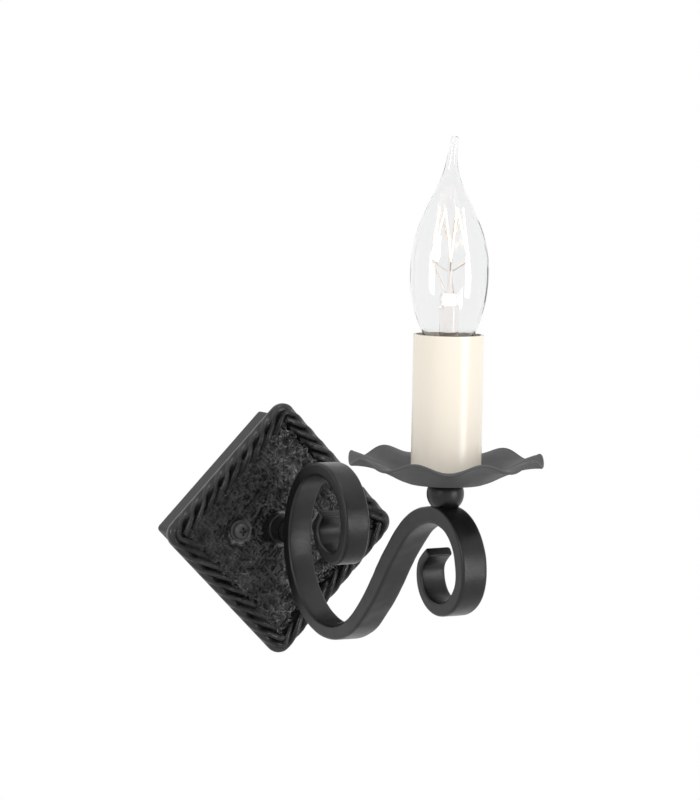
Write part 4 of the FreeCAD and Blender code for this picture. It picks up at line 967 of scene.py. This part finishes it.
# ---------------------------------------------------------------- the scroll arm
@dataclass
class ScrollArm:
    """The forged bar: a rounded flat section carried along a chain of tangent arcs, thinning to both tips."""

    width: float = 13.0 * MM
    edge_r: float = 1.3 * MM
    end_r: float = 0.7 * MM
    rows: int = 980
    arc_points: int = 40
    width_wave: float = 0.014
    width_wave_cell: float = 13.0 * MM
    calm_end: float = 4.0 * MM
    hammer: tuple[tuple[float, float, float, int], ...] = (
        (0.16 * MM, 0.011, 9.0 * MM, 11), (0.07 * MM, 0.017, 4.0 * MM, 12)
    )
    stations: tuple[Station, ...] = (
        (171.8, 8.4, -35.0, 4.2), (164.6, -1.5, -90.0, 4.8), (180.5, -16.3, -180.0, 5.9),
        (198.9, 1.2, -270.0, 7.1), (175.9, 25.4, -360.0, 7.8), (129.4, -8.0, -415.0, 9.2),
        (81.5, -42.0, -360.0, 6.9), (40.2, 0.0, -270.0, 6.6), (71.0, 34.6, -180.0, 6.5),
        (96.1, 9.5, -90.0, 6.5), (84.6, -6.4, 0.0, 6.1), (69.3, 5.6, 90.0, 4.9), (73.6, 13.6, 128.0, 4.2),
    )

    def arc(self, start: np.ndarray, heading: float, end: np.ndarray) -> tuple[np.ndarray, np.ndarray]:
        """The arc that leaves start along heading and reaches end, as places and headings.

        The chord makes half of the arc's whole turn with the heading, which gives the radius.

        Args:
            start: Where the arc starts, as (y, z).
            heading: Its direction there, in radians.
            end: Where it ends.

        Returns:
            Points along it and the heading at each.
        """
        chord = end - start
        half = math.atan2(chord[1], chord[0]) - heading
        half = (half + math.pi) % (2 * math.pi) - math.pi
        turned = np.linspace(0.0, 2 * half, self.arc_points)
        radius = np.linalg.norm(chord) / (2 * math.sin(half)) if abs(half) > 1e-6 else 1e6
        along = np.array([math.cos(heading), math.sin(heading)])
        left = np.array([-along[1], along[0]])
        places = start + radius * (np.sin(turned)[:, None] * along + (1 - np.cos(turned))[:, None] * left)
        return places, heading + turned

    def centre_line(self) -> tuple[np.ndarray, np.ndarray, np.ndarray, np.ndarray]:
        """Joins each pair of stations with two arcs that meet smoothly, and spaces points evenly along them.

        Returns:
            Distance along the bar, (y, z) places, headings and thicknesses.
        """
        places, headings, marks = [], [], []
        for here, there in zip(self.stations, self.stations[1:]):
            start, end = np.array([-here[0], here[1]]) * MM, np.array([-there[0], there[1]]) * MM
            a, b = math.radians(here[2]), math.radians(there[2])
            leaving, arriving = np.array([math.cos(a), math.sin(a)]), np.array([math.cos(b), math.sin(b)])
            gap = end - start
            spread, pull, reach = 2 * (1 - leaving @ arriving), 2 * gap @ (leaving + arriving), gap @ gap
            length = (-pull + math.sqrt(pull * pull + 4 * spread * reach)) / (2 * spread)
            joint = (start + end + (leaving - arriving) * length) / 2
            first, first_way = self.arc(start, a, joint)
            second, second_way = self.arc(joint, first_way[-1], end)
            marks.append(sum(len(p) for p in places))
            places += [first[:-1], second[:-1]]
            headings += [first_way[:-1], second_way[:-1]]
        marks.append(sum(len(p) for p in places))
        places.append(second[-1:])
        headings.append(second_way[-1:])
        line, way = np.vstack(places), np.unwrap(np.concatenate(headings))
        run = distance_along(line)
        ends = self.end_r * (1 - np.cos(np.linspace(0.0, math.pi / 2, 7)))
        even = np.linspace(self.end_r, run[-1] - self.end_r, self.rows)[1:-1]
        at = np.concatenate([ends, even, run[-1] - ends[::-1]])
        thick_at = smooth_profile(np.stack([run[marks], [s[3] * MM for s in self.stations]], axis=1), 12)
        thick = np.interp(at, thick_at[:, 0], thick_at[:, 1])
        return at, points_at(at, run, line), np.interp(at, run, way), thick

    def bar(self) -> Shell:
        """The bar's surface: corner arcs and flats round each station, with shallow hammer waves and eased ends.

        Each hammer wave is its height times noise, shifted from face to face; the section's x runs across the bar
        and n square to it, in the arm's own plane.

        Returns:
            The bar's closed surface.
        """
        run, place, way, thick = self.centre_line()
        from_end = np.minimum(run, run[-1] - run)
        inset = self.end_r * (1 - np.sqrt(1 - (1 - np.clip(from_end / self.end_r, 0, 1)) ** 2))
        half_w, half_t = self.width / 2 - inset, thick / 2 - inset
        corner = np.minimum(self.edge_r, half_t * 0.8)[:, None]
        points = []
        for quadrant in range(4):
            angle = math.pi / 2 * (quadrant + np.linspace(0.0, 1.0, 7))[None, :]
            sign_x = 1.0 if quadrant in (0, 3) else -1.0
            sign_n = 1.0 if quadrant in (0, 1) else -1.0
            x = sign_x * (half_w[:, None] - corner) + corner * np.cos(angle)
            n = sign_n * (half_t[:, None] - corner) + corner * np.sin(angle)
            points.append(np.stack([x, n], axis=-1))
        ring = []
        for this, following in zip(points, points[1:] + points[:1]):
            share = np.linspace(0.0, 1.0, 8)[1:-1][None, :, None]
            flat = this[:, -1:, :] * (1 - share) + following[:, :1, :] * share
            ring += [this, flat]
        section = np.concatenate(ring, axis=1)
        x, n = section[..., 0], section[..., 1]
        side = np.sign(n)
        waves = sum(
            height * lattice_noise(run[:, None] + shift * side, x, cell, seed)
            for height, shift, cell, seed in self.hammer
        )
        n = n + side * waves * smoothstep(0.0, self.calm_end, from_end)[:, None]
        x = x * (1 + self.width_wave * lattice_noise(run[:, None], 0.0 * x, self.width_wave_cell, 13))
        left = np.stack([-np.sin(way), np.cos(way)], axis=1)
        grid = np.stack([x, place[:, :1] + left[:, :1] * n, place[:, 1:] + left[:, 1:] * n], axis=-1)
        return grid_shell(grid, wrap_columns=True, caps=True)

    def build(self) -> bpy.types.Object:
        """Builds and dresses the bar.

        Returns:
            The piece.
        """
        piece = build_piece("arm_bar", [self.bar()], "fixture", 50.0)
        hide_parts("scroll_arm")
        dress(piece, ARM_BLACK.material())
        return piece


# ---------------------------------------------------------------- pan and sleeve
@dataclass
class DripPan:
    """The dished pan on the candle axis: a turned sheet whose rim waves up and down, with a rolled edge."""

    axis_y: float
    seat: float = 39.6 * MM
    thick: float = 1.2 * MM
    hole_r: float = 5.3 * MM
    lobes: int = 9
    lobe_high: float = 2.0 * MM
    low_point_deg: float = -30.0
    warp: float = 0.25 * MM
    around: int = 288
    profile: tuple[tuple[float, float], ...] = (
        (17.0, 0.0), (21.0, 1.5), (26.0, 4.1), (33.0, 7.4), (39.0, 9.2), (43.6, 10.0)
    )

    def sheet(self) -> Shell:
        """The pan's surface: height follows the profile, less the lobes' cosine times the squared way to the rim.

        A slight warp, twice up and down in the round, is added in the same share.

        Returns:
            The closed sheet.
        """
        knots = np.array(self.profile) * MM
        rising = smooth_profile(knots, 10)
        flat = np.stack([np.linspace(self.hole_r, knots[0, 0], 8, endpoint=False), np.zeros(8)], axis=1)
        under = np.vstack([flat, rising])
        roll = np.linspace(-math.pi / 2, math.pi / 2, 9)
        half = self.thick / 2
        rim = np.stack([under[-1, 0] - half + half * np.cos(roll), under[-1, 1] + half + half * np.sin(roll)], axis=1)
        lower, upper = under[:-1], under[:-1][::-1] + [0.0, self.thick]
        outline = np.vstack([lower, rim, upper])
        shell = lathe(outline + [0.0, self.seat], self.axis_y, self.around, closed=True)
        points = shell.vertices
        dx, dy = points[:, 0], points[:, 1] - self.axis_y
        radius, angle = np.hypot(dx, dy), np.arctan2(dx, -dy)
        share = np.clip((radius - knots[0, 0]) / (knots[-1, 0] - knots[0, 0]), 0.0, 1.0) ** 2
        points[:, 2] -= self.lobe_high * share * np.cos(self.lobes * (angle - math.radians(self.low_point_deg)))
        points[:, 2] += self.warp * share * np.sin(2 * angle + 0.6)
        return shell

    def build(self) -> bpy.types.Object:
        """Builds and dresses the pan.

        Returns:
            The piece.
        """
        piece = build_piece("pan_dish", [self.sheet()], "fixture", 50.0)
        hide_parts("drip_pan")
        dress(piece, PAN_GREY.material())
        return piece


@dataclass
class CandleSleeve:
    """The cream tube: a plain turned wall with eased edges."""

    wall: float = 1.25 * MM
    edge: float = 0.35 * MM
    around: int = 128
    rows: int = 24

    def build(self) -> bpy.types.Object:
        """Builds and dresses the sleeve, in the place that its solid has.

        Returns:
            The piece.
        """
        low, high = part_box("candle_sleeve")
        outer = (high.x - low.x) / 2
        inner, axis_y = outer - self.wall, (low.y + high.y) / 2
        ease = self.edge * (1 - np.cos(np.linspace(0.0, math.pi / 2, 5)))
        lift = self.edge * (1 - np.sin(np.linspace(0.0, math.pi / 2, 5)))
        outside = np.linspace(low.z + self.edge, high.z - self.edge, self.rows)
        profile = np.vstack([
            np.stack([outer - self.edge + ease, low.z + lift], axis=1),
            np.stack([np.full(self.rows, outer), outside], axis=1),
            np.stack([outer - ease, high.z - lift[::-1]], axis=1)[:4],
            np.stack([inner + ease[::-1], high.z - lift], axis=1),
            np.stack([np.full(self.rows, inner), outside[::-1]], axis=1),
            np.stack([inner + ease, low.z + lift[::-1]], axis=1),
        ])
        tube = lathe(profile, axis_y, self.around, closed=True)
        piece = build_piece("sleeve_tube", [tube], "sleeve", 40.0)
        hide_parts("candle_sleeve")
        dress(piece, CREAM.material())
        return piece


# ---------------------------------------------------------------- the lamp
@dataclass
class FlameLamp:
    """The clear flame lamp on the candle axis: a thin blown wall with a drawn, leaning tip, and a coiled filament."""

    axis_y: float
    rim_z: float = 97.5 * MM
    wall: float = 0.7 * MM
    lean_deg: float = -35.0
    solid_tip_from: float = 94.0 * MM
    profile: tuple[Triple, ...] = (
        (0.0, 6.6, 0.0), (4.0, 8.6, 0.0), (8.5, 11.3, 0.0), (13.0, 13.3, -0.1), (19.5, 15.6, -0.1), (26.5, 17.1, -0.2),
        (35.0, 17.6, -0.2), (44.5, 17.0, -0.3), (54.5, 14.7, -0.4), (64.5, 10.6, -0.5), (70.0, 7.9, -0.6),
        (75.0, 5.5, -0.6), (79.5, 3.8, -0.5), (84.0, 2.75, -0.3), (89.5, 2.1, 0.2), (95.2, 1.75, 0.8),
        (96.3, 1.1, 0.9), (96.5, 0.0, 0.9),
    )
    peaks: int = 5
    low_ring: tuple[float, float] = (9.5 * MM, 42.0 * MM)
    high_ring: tuple[float, float] = (5.2 * MM, 65.0 * MM)
    sweep_deg: float = 300.0
    coil_r: float = 0.18 * MM
    coil_pitch: float = 0.5 * MM
    wire_r: float = 0.1 * MM
    sag: float = 0.5 * MM
    around: int = 112
    soft_points: int = 31

    def bulb(self) -> Shell:
        """The glass: the outer profile up to the tip's pole, joined at the neck to the same profile drawn in.

        Returns:
            The glass wall's closed surface.
        """
        outer = smooth_profile(np.array(self.profile) * MM, 9)
        outer[:, 1] = np.maximum(outer[:, 1], 0.0)
        inner = outer[outer[:, 0] < self.solid_tip_from].copy()
        inner[:, 1] -= self.wall
        close = smoothstep(self.solid_tip_from - 4 * MM, self.solid_tip_from, inner[:, 0])
        inner[:, 1] *= np.sqrt(1 - close**2)
        inner[-1, 1] = 0.0
        wall = np.vstack([inner[::-1], outer])
        shell = lathe(wall[:, [1, 0]] + [0.0, self.rim_z], self.axis_y, self.around, closed=False)
        lean = math.radians(self.lean_deg)
        bend = np.repeat(wall[:, 2], self.around)
        shell.vertices[:, 0] += bend * math.cos(lean)
        shell.vertices[:, 1] += bend * math.sin(lean)
        return shell

    def filament_path(self) -> np.ndarray:
        """The filament's coil: a fine helix wound round a zig-zag between a low wide ring and a high narrow one.

        Returns:
            The wire's centre line.
        """
        turns = 2 * self.peaks
        step = np.arange(turns + 1)
        angle = np.radians((step / turns - 0.5) * self.sweep_deg)
        low = step % 2 == 0
        radius = np.where(low, self.low_ring[0], self.high_ring[0])
        height = np.where(low, self.low_ring[1], self.high_ring[1]) + self.rim_z
        knots = np.stack([radius * np.sin(angle), self.axis_y - radius * np.cos(angle), height], axis=1)
        run = distance_along(knots)
        at = np.arange(0.0, run[-1], self.coil_pitch / 10)
        line = points_at(at, run, knots)
        soft = np.ones(self.soft_points) / self.soft_points
        eased = [np.pad(line[:, i], self.soft_points // 2, mode="edge") for i in range(3)]
        line = np.stack([np.convolve(row, soft, mode="valid") for row in eased], axis=1)
        from_knot = at - run[np.searchsorted(run, at, side="right") - 1]
        line[:, 2] -= self.sag * np.sin(math.pi * (from_knot / np.diff(run).mean()).clip(0, 1))
        first, second = square_to(line, (0.31, 0.93, 0.17))
        wound = (2 * math.pi * at / self.coil_pitch)[:, None]
        return line + self.coil_r * (np.cos(wound) * first + np.sin(wound) * second)

    def build(self) -> list[bpy.types.Object]:
        """Builds and dresses the bulb and the filament.

        Returns:
            The pieces.
        """
        glass = build_piece("bulb_glass", [self.bulb()], "lamp", 80.0)
        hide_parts("lamp_glass")
        dress(glass, BULB_GLASS.material())
        wire = tube_along(self.filament_path(), self.wire_r, 4)
        coil = build_piece("filament_coil", [wire], "lamp", 80.0)
        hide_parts("filament")
        dress(coil, GlowingWire().material())
        return [glass, coil]


# ---------------------------------------------------------------- pieces kept from the frame
@dataclass
class KeptPieces:
    """The solids that show as they are, each with its finish."""

    finishes: dict[str, Finish] = field(
        default_factory=lambda: {
            "wall_box": BOX_BLACK, "wall_strap": ZINC, "stem_tube": ZINC, "stem_nut": ZINC, "lock_washer": ZINC,
            "arm_collar": ARM_BLACK, "ball": ARM_BLACK, "pan_stud": ZINC, "pan_nut": ZINC,
            "holder_base": HOLDER_BLACK, "holder_barrel": HOLDER_BLACK, "screw_shell": BRASS, "centre_contact": BRASS,
            "holder_terminals": BRASS, "lamp_cap": CAP_NICKEL, "cap_contact": CAP_NICKEL, "cap_insulator": BLACK_GLASS,
            "lamp_stem": MOUNT_GLASS, "filament_supports": DULL_WIRE, "lead_in_wires": DULL_WIRE,
            "terminal_block": BLOCK_NATURAL, "block_fixing_screw": ZINC, "terminal_tubes": BRASS,
            "terminal_screws": ZINC, "live_wire": BROWN_WIRE, "neutral_wire": BLUE_WIRE,
            "earth_wire": EarthInsulation(),
            "earth_ring": ZINC, "earth_screw": ZINC,
        }
    )

    def dress_all(self, nodes: dict[str, bpy.types.Object]) -> int:
        """Dresses every kept solid.

        Args:
            nodes: The frame's solids by name.

        Returns:
            How many were dressed.
        """
        for name, finish in self.finishes.items():
            dress(nodes[name], finish.material())
        return len(self.finishes)


# ---------------------------------------------------------------- studio
@dataclass
class Studio:
    """Camera, plain soft light, white surround and floor."""

    azimuth_deg: float = -30.0
    elevation_deg: float = 5.205
    roll_deg: float = 1.039
    distance: float = 1400.0 * MM
    target: Place = (16.894 * MM, -60.0 * MM, 66.241 * MM)
    focal_px: float = 2898.9
    frame_px: float = 800.0
    sensor: float = 36.0
    surround_light: float = 0.82
    floor_z: float = -0.32
    floor_half: float = 4.0
    floor_grey: float = 0.8
    clip: tuple[float, float] = (0.05, 50.0)
    lamp_aim: Place = (0.0, -0.1, 0.06)
    lamps: tuple[tuple[str, Place, tuple[float, float], float], ...] = (
        ("key", (0.6, -1.5, -0.05), (0.5, 1.1), 8.5),
        ("fill", (-1.4, -0.7, 0.6), (0.4, 0.6), 5.0),
        ("top", (0.1, -0.5, 1.5), (0.7, 0.7), 4.5),
    )

    def camera(self) -> bpy.types.Object:
        """The camera: back from the target along its azimuth and elevation, rolled a little as in the photograph.

        Returns:
            The camera.
        """
        a, e, r = (math.radians(v) for v in (self.azimuth_deg, self.elevation_deg, self.roll_deg))
        back = Vector((math.sin(a) * math.cos(e), -math.cos(a) * math.cos(e), math.sin(e)))
        right = Vector((math.cos(a), math.sin(a), 0.0))
        up = back.cross(right)
        rolled_right = math.cos(r) * right + math.sin(r) * up
        rolled_up = math.cos(r) * up - math.sin(r) * right
        data = bpy.data.cameras.new("camera")
        data.sensor_width = self.sensor
        data.lens = self.focal_px * self.sensor / self.frame_px
        data.clip_start, data.clip_end = self.clip
        camera = bpy.data.objects.new("camera", data)
        turn = Matrix((rolled_right, rolled_up, back)).transposed().to_4x4()
        camera.matrix_world = Matrix.Translation(Vector(self.target) + back * self.distance) @ turn
        bpy.context.scene.collection.objects.link(camera)
        bpy.context.scene.camera = camera
        return camera

    def seen_share(self, graph: Graph) -> bpy.types.NodeSocket:
        """1 for rays from the camera, from gloss and through glass, and 0 for the rest.

        Args:
            graph: The world's or the floor's graph.

        Returns:
            The socket with the share.
        """
        rays = graph.add("ShaderNodeLightPath").outputs
        first = graph.calc("MAXIMUM", rays["Is Camera Ray"], rays["Is Transmission Ray"])
        return graph.calc("MAXIMUM", first, rays["Is Glossy Ray"])

    def surround(self) -> None:
        """White where it is seen, and a softer even light on everything."""
        world = bpy.data.worlds.new("surround")
        world.use_nodes = True
        graph = Graph(world.node_tree)
        light = graph.add("ShaderNodeBackground", {"Color": WHITE, "Strength": self.surround_light})
        white = graph.add("ShaderNodeBackground", {"Color": WHITE, "Strength": 1.0})
        mixed = graph.add("ShaderNodeMixShader", {0: self.seen_share(graph), 1: light.outputs[0], 2: white.outputs[0]})
        graph.add("ShaderNodeOutputWorld", {"Surface": mixed.outputs[0]})
        bpy.context.scene.world = world

    def floor(self) -> bpy.types.Object:
        """The pale floor well below the light, white where it is seen.

        Returns:
            The floor.
        """
        half, z = self.floor_half, self.floor_z
        mesh = bpy.data.meshes.new("floor")
        corners = [(-half, -half, z), (half, -half, z), (half, half, z), (-half, half, z)]
        mesh.from_pydata(corners, [], [(0, 1, 2, 3)])
        floor = bpy.data.objects.new("floor", mesh)
        bpy.context.scene.collection.objects.link(floor)
        made = bpy.data.materials.new("floor_white")
        made.use_nodes = True
        graph = Graph(made.node_tree)
        plain = graph.add("ShaderNodeBsdfDiffuse", {"Color": opaque((self.floor_grey,) * 3)})
        white = graph.add("ShaderNodeEmission", {"Color": WHITE, "Strength": 1.0})
        mixed = graph.add("ShaderNodeMixShader", {0: self.seen_share(graph), 1: plain.outputs[0], 2: white.outputs[0]})
        graph.add("ShaderNodeOutputMaterial", {"Surface": mixed.outputs[0]})
        dress(floor, made)
        return floor

    def lamp(self, name: str, place: Place, size: tuple[float, float], power: float) -> bpy.types.Object:
        """A soft oblong lamp that faces the middle of the object.

        Args:
            name: The lamp's name.
            place: Where it stands.
            size: Its width and height.
            power: Its power in watts.

        Returns:
            The lamp.
        """
        data = bpy.data.lights.new(name, "AREA")
        data.shape = "ELLIPSE"
        data.size, data.size_y, data.energy = *size, power
        lamp = bpy.data.objects.new(name, data)
        lamp.location = place
        way = Vector(self.lamp_aim) - Vector(place)
        lamp.rotation_mode = "QUATERNION"
        lamp.rotation_quaternion = way.to_track_quat("-Z", "Y")
        bpy.context.scene.collection.objects.link(lamp)
        return lamp

    def build(self) -> None:
        """Sets up camera, surround, floor and lamps."""
        self.camera()
        self.surround()
        self.floor()
        for lamp in self.lamps:
            self.lamp(*lamp)
        bpy.context.scene.view_settings.view_transform = "Standard"


def main() -> None:
    """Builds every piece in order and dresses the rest."""
    logging.basicConfig(level=logging.INFO, format="%(name)s: %(message)s")
    low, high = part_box("candle_sleeve")
    axis_y = (low.y + high.y) / 2
    pieces = [CastPlate().build(), ScrollArm().build(), DripPan(axis_y).build(), CandleSleeve().build()]
    pieces += PlateFittings().build() + FlameLamp(axis_y).build()
    for piece in pieces:
        LOG.info("%s: %d faces", piece.name, len(piece.data.polygons))
    LOG.info("kept solids dressed: %d", KeptPieces().dress_all(frame["nodes"]))
    Studio().build()


if __name__ == "__main__":
    main()
